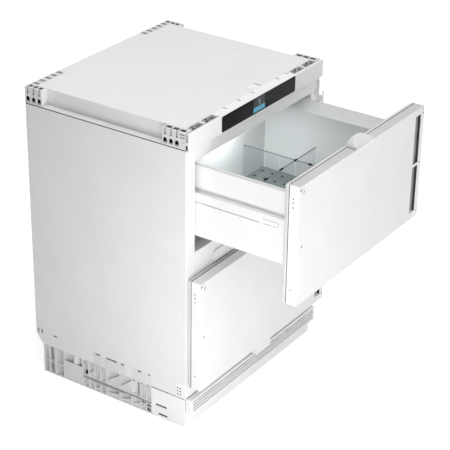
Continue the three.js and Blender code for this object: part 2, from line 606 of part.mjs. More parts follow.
// An L-shaped block that closes a corner of the head; end is -1 at the front and 1 at the rear.
function cornerBlock(side, end) {
  const top = CABINET_HEIGHT;
  const bottom = HEAD_Z + SEAT;
  const inner = HEAD_HALF + SEAT;
  const atFront = end < 0;
  const sideY = atFront ? [FRAME_Y, FRAME_Y + BLOCK_FRONT_SIDE] : [REAR_Y - BLOCK_REAR_SIDE, REAR_Y];
  const armY = atFront
    ? [FASCIA_Y + FASCIA_EDGE + SEAT, COVER_FRONT_Y - SEAT]
    : [COVER_REAR_Y + SEAT, REAR_Y];
  const armBottom = atFront ? top - BLOCK_ARM_DROP : bottom;
  const armEnd = BLOCK_ARM_END + SEAT;
  const sideArm = block(side * inner, side * HALF, sideY[0], sideY[1], bottom, top);
  const crossArm = block(side * armEnd, side * (inner + CUT), Math.max(armY[0], FRAME_Y), armY[1],
    armBottom, top);
  const wall = BLOCK_POCKET_WALL;
  const pocketCount = atFront ? BLOCK_FRONT_POCKETS : BLOCK_POCKETS;
  const pitch = (inner - armEnd) / pocketCount;
  const [coverRim, rearRim] = BLOCK_POCKET_RIM;
  const pocketY = [armY[0] + coverRim, armY[1] - (atFront ? coverRim : rearRim)];
  const pockets = count(pocketCount).map((i) => {
    const x0 = armEnd + i * pitch + BLOCK_POCKET_GAP / 2;
    return block(side * x0, side * (x0 + pitch - BLOCK_POCKET_GAP), pocketY[0], pocketY[1],
      top - BLOCK_POCKET_DEPTH, top + CUT);
  });
  const sidePitch = (sideY[1] - sideY[0] - wall) / BLOCK_SIDE_POCKETS;
  const sidePockets = count(BLOCK_SIDE_POCKETS).map((i) => {
    const y0 = sideY[0] + wall + i * sidePitch;
    return block(side * (inner + wall / 2), side * (HALF - wall), y0, y0 + sidePitch - wall / 2,
      top - BLOCK_POCKET_DEPTH, top + CUT);
  });
  const [holeWidth, holeHeight, holeDepth] = BLOCK_HOLE;
  const [grooveWidth, grooveHeight, grooveDepth] = BLOCK_GROOVE;
  const holePitch = (sideY[1] - sideY[0]) / (BLOCK_HOLES + (atFront ? 1 : 0));
  const firstY = atFront ? sideY[0] + holePitch : sideY[0];
  const holes = count(BLOCK_HOLES).flatMap((i) => {
    const y = firstY + (i + 0.5) * holePitch;
    const z = bottom + wall / 2;
    return [
      alongX(arch(y, z, holeWidth, holeHeight), side * (HALF - holeDepth), side * (HALF + CUT)),
      block(side * (HALF - grooveDepth), side * (HALF + CUT), y - grooveWidth / 2, y + grooveWidth / 2,
        top - grooveHeight, top + CUT),
    ];
  });
  const [latchLength, latchHeight, latchDepth] = BLOCK_LATCH;
  const latchY = sideY[0] + BLOCK_LATCH_INSET;
  const [dotSize, dotDrop] = BLOCK_DOT;
  const dotY = latchY + dotSize / 2;
  const latches = BLOCK_LATCH_DROP.map((drop) =>
    block(side * (HALF - latchDepth), side * (HALF + CUT), latchY, latchY + latchLength,
      top - drop - latchHeight, top - drop));
  const dot = block(side * (HALF - latchDepth), side * (HALF + CUT), dotY, dotY + dotSize,
    top - dotDrop - dotSize, top - dotDrop);
  const body = cut(join(sideArm, crossArm), ...pockets, ...holes);
  return atFront ? cut(body, ...sidePockets, ...latches, dot) : cut(body, ...sidePockets);
}

// ---------------------------------------------------------------- base
function footPlaces() {
  const x = HALF - FOOT_INSET_X;
  return [
    ["front_left", -x, FRAME_Y + FOOT_INSET_Y],
    ["front_right", x, FRAME_Y + FOOT_INSET_Y],
    ["rear_left", -x, BASE_REAR_Y - FOOT_INSET_Y],
    ["rear_right", x, BASE_REAR_Y - FOOT_INSET_Y],
  ];
}

function baseSide(side) {
  const ribHalf = HALF - BASE_RIB_INSET;
  const root = BASE_WEB_HALF - BASE_WALL / 2; // pieces of the side start inside its web
  const top = BASE_HEIGHT;
  const front = COVER_END_Y + SEAT;
  const web = block(side * (BASE_WEB_HALF - BASE_WALL), side * BASE_WEB_HALF, FRAME_Y + PLINTH_WALL + SEAT,
    BASE_REAR_Y, BASE_FLOOR / 2, top);
  const flange = (z0, z1) => block(side * root, side * ribHalf, front, BASE_REAR_Y, z0, z1);
  const total = BASE_BAYS.reduce((sum, bay) => sum + bay, 0);
  const scale = (BASE_REAR_Y - front - BASE_WALL) / total;
  const edges = [0];
  for (const bay of BASE_BAYS) edges.push(edges[edges.length - 1] + bay * scale);
  const ribs = edges.map((edge) => {
    const y = BASE_REAR_Y - edge;
    return block(side * root, side * (ribHalf - BASE_RIB_STEP), y - BASE_WALL, y,
      BASE_FLOOR / 2, top - BASE_WALL / 2);
  });
  const closedRear = BASE_REAR_Y - edges[BASE_CLOSED_BAY];
  const closedFront = BASE_REAR_Y - edges[BASE_CLOSED_BAY + 1] - BASE_WALL;
  const closed = block(side * (ribHalf - BASE_WALL), side * (ribHalf - 2 * BASE_RIB_STEP),
    closedFront + BASE_WALL / 2, closedRear - BASE_WALL / 2, BASE_FLOOR / 2, BASE_CLOSED_HEIGHT);
  const shelf = cut(
    flange(BASE_SHELF_Z, BASE_SHELF_Z + BASE_WALL),
    block(0, side * HALF, closedFront + BASE_WALL / 2, closedRear - BASE_WALL / 2,
      BASE_SHELF_Z - CUT, BASE_SHELF_Z + BASE_WALL + CUT),
  );
  const tabTop = SHELL_BOTTOM_Z + BASE_TAB_HEIGHT;
  const [slotHeight, slotDrop] = BASE_TAB_SLOT;
  const tabs = baseTabSpans().flatMap(([y0, y1], i) => {
    const [y, half] = [(y0 + y1) / 2, BASE_TAB_SLOTS[i] / 2];
    const slot = block(side * (HALF - SHEET - CUT), side * (HALF + CUT), y - half, y + half,
      tabTop - slotDrop - slotHeight, tabTop - slotDrop);
    return [
      cut(block(side * (HALF - SHEET), side * HALF, y0, y1, top - BASE_WALL, tabTop), slot),
      block(side * root, side * (HALF - SHEET / 2), y0, y1, top - BASE_WALL, top - BASE_WALL / 2),
    ];
  });
  return join(web, flange(0, BASE_FLOOR), shelf, flange(top - BASE_WALL, top), closed, ...ribs, ...tabs);
}

function baseFrame() {
  const front = FRAME_Y + PLINTH_WALL + SEAT;
  const floor = block(-BASE_WEB_HALF, BASE_WEB_HALF, front, BASE_REAR_Y, 0, BASE_FLOOR);
  const lipHalf = BASE_WEB_HALF - BASE_WALL / 2;
  const lip = block(-lipHalf, lipHalf, BASE_REAR_Y - BASE_WALL, BASE_REAR_Y, BASE_FLOOR / 2, BASE_REAR_LIP);
  const bosses = footPlaces().flatMap(([, x, y]) => [
    bar("z", x, y, BOSS_RADIUS, BOSS_Z[0], BOSS_Z[1]),
    block(x, Math.sign(x) * (BASE_WEB_HALF - BASE_WALL / 2), y - BOSS_ARM / 2, y + BOSS_ARM / 2,
      BOSS_Z[1] - 2 * BASE_WALL, BOSS_Z[1] - BASE_WALL),
  ]);
  const wells = footPlaces().map(([, x, y]) => bar("z", x, y, FOOT_RADIUS + 1, -CUT, BASE_FLOOR + CUT, 24));
  const bores = footPlaces().map(([, x, y]) =>
    bar("z", x, y, STEM_RADIUS + STEM_PLAY, BOSS_Z[0] - CUT, BOSS_Z[1] + CUT));
  const whole = join(floor, lip, baseSide(-1), baseSide(1));
  return cut(join(cut(whole, ...wells), ...bosses), ...bores);
}

function baseSideCover(side) {
  const front = FRAME_Y + PLINTH_WALL + SEAT;
  const top = BASE_HEIGHT - COVER_SEAM;
  const plate = block(side * (HALF - COVER_WALL), side * HALF, front, COVER_END_Y, 0, top);
  const ribs = [front, COVER_END_Y - BASE_WALL].map((y) =>
    block(side * (BASE_WEB_HALF + SEAT), side * HALF, y, y + BASE_WALL, 0, top));
  const slots = COVER_SLOTS.map(([z, inset, length]) =>
    block(side * (HALF - COVER_WALL - CUT), side * (HALF + CUT), COVER_END_Y - inset - length,
      COVER_END_Y - inset, z - COVER_SLOT_HEIGHT / 2, z + COVER_SLOT_HEIGHT / 2));
  return cut(join(plate, ...ribs), ...slots);
}

function ventGrille() {
  const half = HALF - GRILLE_SIDE_INSET;
  const front = FRAME_Y - GRILLE_RISE;
  const bottom = PLINTH_HEIGHT;
  const top = BASE_HEIGHT;
  const shell = block(-half, half, front, FRAME_Y, bottom, top);
  const inside = block(-half + GRILLE_WALL, half - GRILLE_WALL, front + GRILLE_WALL, FRAME_Y + CUT,
    bottom + GRILLE_WALL, top - GRILLE_WALL);
  const pitch = (top - bottom) / (GRILLE_SLOTS + 1);
  const slots = count(GRILLE_SLOTS).map((i) => {
    const z = bottom + (i + 1) * pitch;
    return block(-half + 2 * GRILLE_WALL, half - 2 * GRILLE_WALL, front - CUT, front + GRILLE_WALL + CUT,
      z - GRILLE_SLOT / 2, z + GRILLE_SLOT / 2);
  });
  const bars = count(GRILLE_BARS).map((i) => {
    const x = (i - (GRILLE_BARS - 1) / 2) * (2 * half) / (GRILLE_BARS + 1);
    return block(x - GRILLE_WALL / 2, x + GRILLE_WALL / 2, front + GRILLE_WALL, FRAME_Y, bottom, top);
  });
  return join(cut(shell, inside, ...slots), ...bars);
}

function plinthPanel() {
  const half = HALF - GRILLE_SIDE_INSET;
  return block(-half, half, FRAME_Y, FRAME_Y + PLINTH_WALL, 0, PLINTH_HEIGHT - SEAT);
}

function levellingFoot(x, y) {
  return join(bar("z", x, y, FOOT_RADIUS, 0, FOOT_PAD, 20), bar("z", x, y, STEM_RADIUS, 0, STEM_LENGTH, 12));
}

// ---------------------------------------------------------------- drawer fronts
// The deep channel beside the fixing strip, grown outwards by the given amount.
function channelBox(bottom, top, frontY, grow) {
  const x1 = FRONT_HALF - CHANNEL_INSET;
  return block(x1 - CHANNEL_WIDTH - grow, x1 + grow, frontY, SKIN_FRONT_Y + CHANNEL_DEPTH + grow,
    bottom + CHANNEL_END - grow, top - CHANNEL_END + grow);
}

// The strip along the front's right edge, with a tie across the channel and three screw holes.
function fixingStrip(bottom, top) {
  const y0 = SKIN_FRONT_Y - STRIP_RISE;
  const y1 = SKIN_FRONT_Y + SHEET / 2;
  const x0 = FRONT_HALF - STRIP_WIDTH;
  const middle = (bottom + top) / 2;
  const edge = SHEET / 2;
  const strip = block(x0, FRONT_HALF - edge, y0, y1, bottom + STRIP_END, top - STRIP_END);
  const tieEnd = FRONT_HALF - CHANNEL_INSET - CHANNEL_WIDTH - STRIP_TIE;
  const tie = block(tieEnd, x0 + CUT, y0 + edge, y1, middle - STRIP_TIE / 2, middle + STRIP_TIE / 2);
  return join(strip, tie);
}

function stripHoles(bottom, top) {
  const places = [bottom + STRIP_HOLE_END, (bottom + top) / 2, top - STRIP_HOLE_END];
  return places.map((z) => bar("y", FRONT_HALF - STRIP_WIDTH / 2, z, STRIP_HOLE,
    SKIN_FRONT_Y - STRIP_RISE - CUT, SKIN_FRONT_Y + SHEET + CUT, 8));
}

function frontSkin(bottom, top, withLip) {
  const shell = block(-FRONT_HALF, FRONT_HALF, SKIN_FRONT_Y, SKIN_REAR_Y, bottom, top);
  const inside = block(-FRONT_HALF + SHEET, FRONT_HALF - SHEET, SKIN_FRONT_Y + SHEET, SKIN_REAR_Y + CUT,
    bottom + SHEET, top - SHEET);
  const pan = join(cut(shell, inside), channelBox(bottom, top, SKIN_FRONT_Y + SHEET / 2, SHEET));
  const open = cut(pan, channelBox(bottom, top, SKIN_FRONT_Y - CUT, 0));
  const skin = cut(join(open, fixingStrip(bottom, top)), ...stripHoles(bottom, top));
  if (!withLip) return skin;
  const lip = block(-LIP_WIDTH / 2, LIP_WIDTH / 2, SKIN_FRONT_Y, SKIN_FRONT_Y + LIP_DEPTH,
    bottom - LIP_DROP, bottom + SHEET);
  return join(skin, lip);
}

function frontFoam(bottom, top) {
  const fill = (inset, rear) =>
    block(-FRONT_HALF + inset, FRONT_HALF - inset, SKIN_FRONT_Y + SHEET + SEAT, rear,
      bottom + inset, top - inset);
  const reach = SHEET + SEAT;
  const behindPlug = fill(reach, INNER_FRONT_Y - FRONT_PLUG - SEAT);
  const inPlug = fill(3 * reach + SEAT, INNER_FRONT_Y - SEAT);
  const body = join(behindPlug, inPlug);
  return cut(body, channelBox(bottom, top, SKIN_FRONT_Y - CUT, SHEET + SEAT));
}

// The inner panel, with its plug in the skin and a rounded fixing tab over the front's top.
function frontInnerPanel(bottom, top) {
  const panel = block(-FRONT_HALF, FRONT_HALF, INNER_FRONT_Y, INNER_REAR_Y, bottom, top);
  const reach = SHEET + SEAT;
  const plug = block(-FRONT_HALF + reach, FRONT_HALF - reach, INNER_FRONT_Y - FRONT_PLUG, INNER_REAR_Y,
    bottom + reach, top - reach);
  const hollow = block(-FRONT_HALF + 3 * reach, FRONT_HALF - 3 * reach, INNER_FRONT_Y - FRONT_PLUG - CUT,
    INNER_FRONT_Y, bottom + 3 * reach, top - 3 * reach);
  const arch = new THREE.Shape();
  arch.moveTo(TAB_WIDTH / 2, top - CUT);
  arch.lineTo(TAB_WIDTH / 2, top);
  arch.absellipse(0, top, TAB_WIDTH / 2, TAB_HEIGHT, 0, Math.PI, false, 0);
  arch.lineTo(-TAB_WIDTH / 2, top - CUT);
  const nose = SKIN_FRONT_Y + TAB_SETBACK;
  const above = outline([
    [nose - CUT, top + TAB_NOSE],
    [nose, top + TAB_NOSE],
    [INNER_FRONT_Y, top + TAB_HEIGHT + SEAT],
    [INNER_FRONT_Y, top + TAB_HEIGHT + CUT],
    [nose - CUT, top + TAB_HEIGHT + CUT],
  ]);
  const below = block(-TAB_WIDTH, TAB_WIDTH, nose - CUT, INNER_FRONT_Y, top - 2 * CUT, top + SEAT);
  const tab = cut(alongY(arch, nose, TAB_REAR_Y), alongX(above, -TAB_WIDTH, TAB_WIDTH), below);
  return join(panel, cut(plug, hollow), tab);
}

function gasket(bottom, top) {
  const half = FRONT_HALF - GASKET_INSET;
  const z0 = bottom + GASKET_INSET;
  const z1 = top - GASKET_INSET;
  const w = GASKET_WIDTH;
  return cut(
    block(-half, half, GASKET_FRONT_Y, GASKET_REAR_Y, z0, z1),
    block(-half + w, half - w, GASKET_FRONT_Y - CUT, GASKET_REAR_Y + CUT, z0 + w, z1 - w),
  );
}

// ---------------------------------------------------------------- drawer bodies
// The tub's section on (x, z), grown inwards by the wall.
function tubOutline(floor, rim, wall) {
  const lift = wall ? CUT : 0;
  const half = [
    [RIM_HALF - wall, rim + lift],
    [RIM_HALF - wall, rim - RIM_EDGE + wall],
    [TUB_TOP_HALF - wall, rim - RIM_EDGE - RIM_FLARE + wall],
    [TUB_FLOOR_HALF - wall, floor + wall],
  ];
  return outline([...half, ...half.map(([x, z]) => [-x, z]).reverse()]);
}

function tub(bottom, top, stepped) {
  const floor = bottom + TUB_BOTTOM_RISE;
  const rim = top - RIM_DROP;
  const outer = alongY(tubOutline(floor, rim, 0), TUB_FRONT_Y, TUB_REAR_Y);
  const inner = alongY(tubOutline(floor, rim, TUB_WALL), TUB_FRONT_Y + TUB_WALL, TUB_REAR_Y - TUB_WALL);
  if (!stepped) return cut(outer, inner);
  const step = (wall) =>
    block(-HALF, HALF, HUMP_FRONT_Y - TUB_STEP_ROOM - wall, TUB_REAR_Y + CUT,
      0, HUMP_TOP_Z + TUB_STEP_ROOM + wall);
  return cut(cut(outer, step(0)), cut(inner, step(TUB_WALL)));
}

// Levels of the side and of its rail, from the rim down, for the given drop of the skirt under the cover.
function sideLevels(top, skirt) {
  const rim = top - RIM_DROP;
  const band = rim - SIDE_WALL_HEIGHT;
  const ledge = band - SIDE_GROOVE[0];
  const seam = ledge - SIDE_COVER_HEIGHT;
  const railTop = seam - skirt + SIDE_COVER_HEIGHT - SIDE_SHEET - SEAT;
  return { rim, band, ledge, seam, foot: seam - skirt, railTop, railFoot: railTop - RUNNER_HEIGHT };
}

function drawerSide(side, top, skirt) {
  const z = sideLevels(top, skirt);
  const s = SIDE_SHEET;
  const outer = RIM_HALF + SIDE_COVER_OUT;
  const groove = RIM_HALF - SIDE_GROOVE[1];
  const strip = (x0, x1, z0, z1) => block(side * x0, side * x1, TUB_FRONT_Y, TUB_REAR_Y, z0, z1);
  const runner = RUNNER_DRAWER_HALF;
  const shelf = z.railTop + SEAT;
  const flareFall = (s * RIM_FLARE) / (RIM_HALF - TUB_TOP_HALF);
  const seam = block(side * (outer - s - CUT), side * (outer + CUT), TUB_FRONT_Y + SIDE_SEAM_STOP,
    TUB_REAR_Y + CUT, z.seam - SIDE_SEAM, z.seam);
  const body = join(
    strip(RIM_HALF - s, RIM_HALF, z.band, z.rim - RIM_EDGE - flareFall - SEAT),
    strip(groove, RIM_HALF, z.band, z.band + s),
    strip(groove, groove + s, z.ledge - s, z.band + s),
    strip(groove, outer, z.ledge - s, z.ledge),
    strip(outer - s, outer, z.foot, z.ledge),
    strip(outer - SIDE_RETURN, outer, z.foot, z.foot + s),
    strip(runner, outer, shelf, shelf + s),
    strip(runner, runner + RUNNER_SHEET, z.railFoot - s, shelf + s),
    strip(runner, runner + RUNNER_STEP - SEAT, z.railFoot - s, z.railFoot),
  );
  return skirt ? cut(body, seam) : body;
}

// The middle member carries the ledge of the drawer side on its top edge.
function middleRunner(side, top, skirt) {
  const z = sideLevels(top, skirt);
  const x0 = RUNNER_DRAWER_HALF + RUNNER_STEP;
  const lip = x0 + RUNNER_STEP - SEAT;
  const strip = (xa, xb, z0, z1) =>
    block(side * xa, side * xb, RUNNER_FRONT_Y - RUNNER_MIDDLE_SHORT,
      RUNNER_REAR_Y - 2 * RUNNER_MIDDLE_SHORT, z0, z1);
  return join(
    strip(x0, x0 + RUNNER_SHEET, z.railFoot, z.railTop),
    strip(x0, lip, z.railFoot, z.railFoot + SIDE_SHEET),
    strip(x0, lip, z.railTop - SIDE_SHEET, z.railTop),
  );
}

// The cabinet member carries the middle member on a lip, and is fixed to the liner's wall by its foot.
function fixedRunner(side, top, skirt) {
  const z = sideLevels(top, skirt);
  const x0 = RUNNER_DRAWER_HALF + 2 * RUNNER_STEP;
  const x1 = x0 + RUNNER_SHEET;
  const wall = LINER_HALF - SEAT;
  const foot = z.railFoot - RUNNER_FOOT_DROP;
  const strip = (xa, xb, z0, z1) => block(side * xa, side * xb, RUNNER_FRONT_Y, RUNNER_REAR_Y, z0, z1);
  return join(
    strip(x0, x1, foot, z.railTop - RUNNER_LIP),
    strip(x0 - RUNNER_STEP + SEAT, x1, z.railFoot - SEAT - SIDE_SHEET, z.railFoot - SEAT),
    strip(x0, wall, foot, foot + RUNNER_SHEET),
    strip(wall - RUNNER_SHEET, wall, foot, foot + RUNNER_FOOT_DROP),
  );
}

// ---------------------------------------------------------------- inside the upper drawer
const MAT_BOTTOM_Z = UPPER_FRONT_BOTTOM_Z + TUB_BOTTOM_RISE + TUB_WALL + SEAT;
const MAT_TOP_Z = MAT_BOTTOM_Z + MAT_THICKNESS;
const TUB_INSIDE_FRONT_Y = TUB_FRONT_Y + TUB_WALL;
const TUB_INSIDE_REAR_Y = TUB_REAR_Y - TUB_WALL;
const DIVIDER_TOP_Z = MAT_BOTTOM_Z + DIVIDER_TOP;
const DIVIDER_MIDDLE_Z = (MAT_TOP_Z + DIVIDER_TOP_Z) / 2;
const CROSS_Y = TUB_INSIDE_FRONT_Y + DIVIDER_CROSS_Y;

function floorMat() {
  const half = TUB_FLOOR_HALF - TUB_WALL - MAT_MARGIN;
  return block(-half, half, TUB_INSIDE_FRONT_Y + SEAT, TUB_INSIDE_REAR_Y - SEAT, MAT_BOTTOM_Z, MAT_TOP_Z);
}

function longDivider() {
  const half = DIVIDER_SHEET / 2;
  const play = half + SEAT;
  const bottom = MAT_TOP_Z + SEAT;
  const sheet = block(DIVIDER_X - half, DIVIDER_X + half, TUB_INSIDE_FRONT_Y + SEAT, TUB_INSIDE_REAR_Y - SEAT,
    bottom, DIVIDER_TOP_Z);
  const slots = count(DIVIDER_SLOTS).map((i) => {
    const y = CROSS_Y + (i - 4) * DIVIDER_SLOT_PITCH;
    return block(DIVIDER_X - play, DIVIDER_X + play, y - play, y + play,
      DIVIDER_MIDDLE_Z - SEAT, DIVIDER_TOP_Z + CUT);
  });
  return cut(sheet, ...slots);
}

function crossDivider() {
  const half = DIVIDER_SHEET / 2;
  const play = half + SEAT;
  const end = TUB_FLOOR_HALF - TUB_WALL - MAT_MARGIN / 2;
  const sheet = block(DIVIDER_CROSS_END, end, CROSS_Y - half, CROSS_Y + half,
    MAT_TOP_Z + SEAT, DIVIDER_TOP_Z);
  const slot = block(DIVIDER_X - play, DIVIDER_X + play, CROSS_Y - play, CROSS_Y + play,
    MAT_TOP_Z - CUT, DIVIDER_MIDDLE_Z + SEAT);
  return cut(sheet, slot);
}

// ---------------------------------------------------------------- cooling machine
// A fan rotor along "x" or "y", from its hub's near face, with flat pitched blades.
function fanRotor(axis, u, v, radius, from) {
  const hub = bar(axis, u, v, FAN_HUB, from, from + FAN_DEPTH);
  const chord = FAN_DEPTH * 0.8;
  const blades = count(FAN_BLADES).map((i) => {
    const blade = new THREE.BoxGeometry(radius - FAN_HUB / 2, chord, 1.6);
    blade.translate((radius + FAN_HUB / 2) / 2, 0, 0);
    blade.rotateX(Math.PI / 5);
    blade.rotateY((2 * Math.PI * i) / FAN_BLADES);
    if (axis === "x") blade.rotateZ(-Math.PI / 2).translate(from + FAN_DEPTH / 2, u, v);
    if (axis === "y") blade.translate(u, from + FAN_DEPTH / 2, v);
    return solid(blade);
  });
  return join(hub, ...blades);
}

const EVAP_FAN_X = LINER_HALF - EVAP_FAN_AT[0];
const EVAP_FAN_Z = OPENING_TOP_Z - EVAP_FAN_AT[1];

function evaporatorCover() {
  const wall = LINER_WALL;
  const z0 = HUMP_TOP_Z + EVAP_COVER_LIFT;
  const z1 = OPENING_TOP_Z - EVAP_COVER_TOP_DROP;
  const back = LINER_REAR_Y - SEAT;
  const half = EVAP_COVER_HALF;
  const shell = block(-half, half, EVAP_COVER_Y, back, z0, z1);
  const inside = block(-half + wall, half - wall, EVAP_COVER_Y + wall, back + CUT, z0 + wall, z1 - wall);
  const x = EVAP_FAN_X;
  const hole = bar("y", x, EVAP_FAN_Z, EVAP_FAN_RADIUS + FAN_PLAY, EVAP_COVER_Y - CUT,
    EVAP_COVER_Y + wall + CUT, 24);
  const reach = EVAP_FAN_RADIUS + FAN_PLAY + wall;
  const arms = [
    block(x - reach, x + reach, EVAP_COVER_Y, EVAP_COVER_Y + wall, EVAP_FAN_Z - wall, EVAP_FAN_Z + wall),
    block(x - wall, x + wall, EVAP_COVER_Y, EVAP_COVER_Y + wall, EVAP_FAN_Z - reach, EVAP_FAN_Z + reach),
  ];
  const motor = bar("y", x, EVAP_FAN_Z, FAN_HUB, EVAP_COVER_Y, EVAP_COVER_Y + 2 * wall);
  return join(cut(shell, inside, hole), ...arms, motor);
}

// A finned block: slots between the fins run down from the top to a solid foot.
function finnedBlock(x0, x1, y0, y1, z0, z1, fins, gap, acrossX) {
  const body = block(x0, x1, y0, y1, z0, z1);
  const from = acrossX ? x0 : y0;
  const to = acrossX ? x1 : y1;
  const pitch = (to - from) / fins;
  const slots = count(fins - 1).map((i) => {
    const middle = from + (i + 1) * pitch;
    const low = z0 + pitch / 2;
    return acrossX
      ? block(middle - gap / 2, middle + gap / 2, y0 - CUT, y1 + CUT, low, z1 + CUT)
      : block(x0 - CUT, x1 + CUT, middle - gap / 2, middle + gap / 2, low, z1 + CUT);
  });
  return cut(body, ...slots);
}

function evaporator() {
  const top = EVAP_FAN_Z + EVAP_HEIGHT / 2 - EVAP_FAN_RADIUS;
  return finnedBlock(EVAP_SIDE_ROOM - LINER_HALF, EVAP_FAN_X - EVAP_FAN_ROOM, EVAP_COVER_Y + 3 * LINER_WALL,
    LINER_REAR_Y - SEAT, top - EVAP_HEIGHT, top, EVAP_FINS, EVAP_FIN_GAP, true);
}

function ledLamp() {
  const [width, depth, height] = LAMP_SIZE;
  const top = OPENING_TOP_Z + LINER_WALL - SEAT;
  const front = FRAME_REAR_Y + LAMP_FRONT;
  return alongX(
    roundRect(front, front + depth, top - height, top, height / 3), -width / 2, width / 2);
}

const COMPRESSOR_X = COMPRESSOR_AT[0] - HALF;
const COMPRESSOR_Y = REAR_Y - COMPRESSOR_AT[1];
const MACHINE_FLOOR_Z = BASE_FLOOR + SEAT;
const INLET_RIGHT_X = HALF - FOOT_INSET_X - FOOT_RADIUS - INLET_PLAY;
const COND_RIGHT_X = INLET_RIGHT_X - INLET_SIZE[0] - COND_PLAY;

function compressor() {
  const r = COMPRESSOR_RADIUS;
  const h = COMPRESSOR_HEIGHT;
  const plateZ = h * 0.08;
  const profile = [
    [0, plateZ],
    [r * 0.8, plateZ],
    [r * 0.97, h * 0.22],
    [r * 0.97, h * 0.45],
    [r, h * 0.46],
    [r, h * 0.5],
    [r * 0.97, h * 0.51],
    [r * 0.95, h * 0.75],
    [r * 0.7, h * 0.94],
    [r * 0.3, h],
    [0, h],
  ];
  const shell = new THREE.LatheGeometry(profile.map(([x, y]) => new THREE.Vector2(x, y)), 24);
  shell.rotateX(Math.PI / 2).translate(COMPRESSOR_X, COMPRESSOR_Y, MACHINE_FLOOR_Z);
  const plate = block(COMPRESSOR_X - r, COMPRESSOR_X + r, COMPRESSOR_Y - r * 0.7, COMPRESSOR_Y + r * 0.7,
    MACHINE_FLOOR_Z + plateZ, MACHINE_FLOOR_Z + plateZ + COMPRESSOR_PLATE);
  const feet = [-1, 1].flatMap((i) => [-1, 1].map((j) =>
    bar("z", COMPRESSOR_X + i * r * 0.82, COMPRESSOR_Y + j * r * 0.55, COMPRESSOR_FOOT_RADIUS,
      MACHINE_FLOOR_Z,
      MACHINE_FLOOR_Z + plateZ + COMPRESSOR_PLATE, 12)));
  return join(solid(shell), plate, ...feet);
}

function dripTray() {
  const [width, depth, height] = TRAY_SIZE;
  const bottom = MACHINE_FLOOR_Z + COMPRESSOR_HEIGHT + SEAT;
  const w = TRAY_WALL;
  const x = COMPRESSOR_X;
  const y = COMPRESSOR_Y;
  return cut(
    block(x - width / 2, x + width / 2, y - depth / 2, y + depth / 2, bottom, bottom + height),
    block(x - width / 2 + w, x + width / 2 - w, y - depth / 2 + w, y + depth / 2 - w,
      bottom + w, bottom + height + CUT),
  );
}

function condenser() {
  return finnedBlock(COND_LEFT_X, COND_RIGHT_X, COMPRESSOR_Y - COND_DEPTH / 2, COMPRESSOR_Y + COND_DEPTH / 2,
    MACHINE_FLOOR_Z, MACHINE_FLOOR_Z + COND_HEIGHT, COND_FINS, COND_FIN_GAP, false);
}

function fanShroud() {
  const [depth, height] = SHROUD_SIZE;
  const y = COMPRESSOR_Y;
  const w = SHROUD_WALL;
  const z = COND_FAN_Z;
  const plate = block(-w / 2, w / 2, y - depth / 2, y + depth / 2, MACHINE_FLOOR_Z, MACHINE_FLOOR_Z + height);
  const radius = COND_FAN_RADIUS + FAN_PLAY;
  const hole = bar("x", y, z, radius, -CUT - w, w + CUT, 24);
  const arms = [
    block(-w / 2, w / 2, y - radius - w, y + radius + w, z - w, z + w),
    block(-w / 2, w / 2, y - w, y + w, z - radius - w, z + radius + w),
  ];
  const motor = bar("x", y, z, FAN_HUB, -MOTOR_LENGTH, w / 2);
  const foot = block(-4 * w, 4 * w, y - depth / 2, y + depth / 2, MACHINE_FLOOR_Z, MACHINE_FLOOR_Z + w / 2);
  return join(cut(plate, hole), ...arms, motor, foot);
}

function powerInlet() {
  const [width, depth, height] = INLET_SIZE;
  const [mouthWidth, mouthHeight, mouthDepth] = INLET_MOUTH;
  const rear = BASE_REAR_Y - BASE_WALL - SEAT;
  const z = BASE_REAR_LIP + mouthHeight / 2 + SEAT;
  const x = INLET_RIGHT_X - width / 2;
  const body = block(x - width / 2, x + width / 2, rear - depth, rear,
    MACHINE_FLOOR_Z, MACHINE_FLOOR_Z + height);
  const mouth = block(x - mouthWidth / 2, x + mouthWidth / 2, rear - mouthDepth, rear + CUT,
    z - mouthHeight / 2, z + mouthHeight / 2);
  const [pin, pinHeight, pinPitch] = INLET_PIN;
  const pins = [-1, 0, 1].map((i) =>
    block(x + i * pinPitch - pin / 2, x + i * pinPitch + pin / 2, rear - mouthDepth - CUT,
      rear - pinHeight / 2,
      z - pinHeight / 2, z + pinHeight / 2));
  return join(cut(body, mouth), ...pins);
}

// ---------------------------------------------------------------- assembly
const refrigerator = new THREE.Group();

const cabinet = new THREE.Group();
refrigerator.add(cabinet);
for (const [name, side] of SIDES) {
  cabinet.add(mesh(`side_panel_${name}`, sidePanel(side), greySteel));
  cabinet.add(mesh(`corner_block_front_${name}`, cornerBlock(side, -1), greyPlastic));
  cabinet.add(mesh(`corner_block_rear_${name}`, cornerBlock(side, 1), greyPlastic));
  cabinet.add(mesh(`lower_corner_${name}`, lowerCorner(side), whitePlastic));
  cabinet.add(mesh(`base_side_cover_${name}`, baseSideCover(side), greyPlastic));
}
cabinet.add(mesh("back_panel", backPanel(), zincSteel));
cabinet.add(mesh("top_cover", topCover(), greySteel));
cabinet.add(mesh("inner_liner", innerLiner(), whitePlastic));
cabinet.add(mesh("insulation_foam", insulationFoam(), foamYellow));
cabinet.add(mesh("front_frame", frontFrame(), whiteSteel));
cabinet.add(mesh("middle_rail", middleRail(), whitePlastic));
cabinet.add(mesh("control_fascia", controlFascia(), whitePlastic));
cabinet.add(mesh("display_glass", displayGlass(), blackGlass));
cabinet.add(mesh("base_frame", baseFrame(), greyPlastic));
cabinet.add(mesh("vent_grille", ventGrille(), greyPlastic));
cabinet.add(mesh("plinth_panel", plinthPanel(), whitePlastic));
cabinet.add(mesh("evaporator_cover", evaporatorCover(), whitePlastic));
cabinet.add(mesh("evaporator", evaporator(), finAluminium));
cabinet.add(mesh("led_lamp", ledLamp(), lampPlastic));
cabinet.add(mesh("compressor", compressor(), blackSteel));
cabinet.add(mesh("drip_tray", dripTray(), blackPlastic));
cabinet.add(mesh("condenser", condenser(), finAluminium));
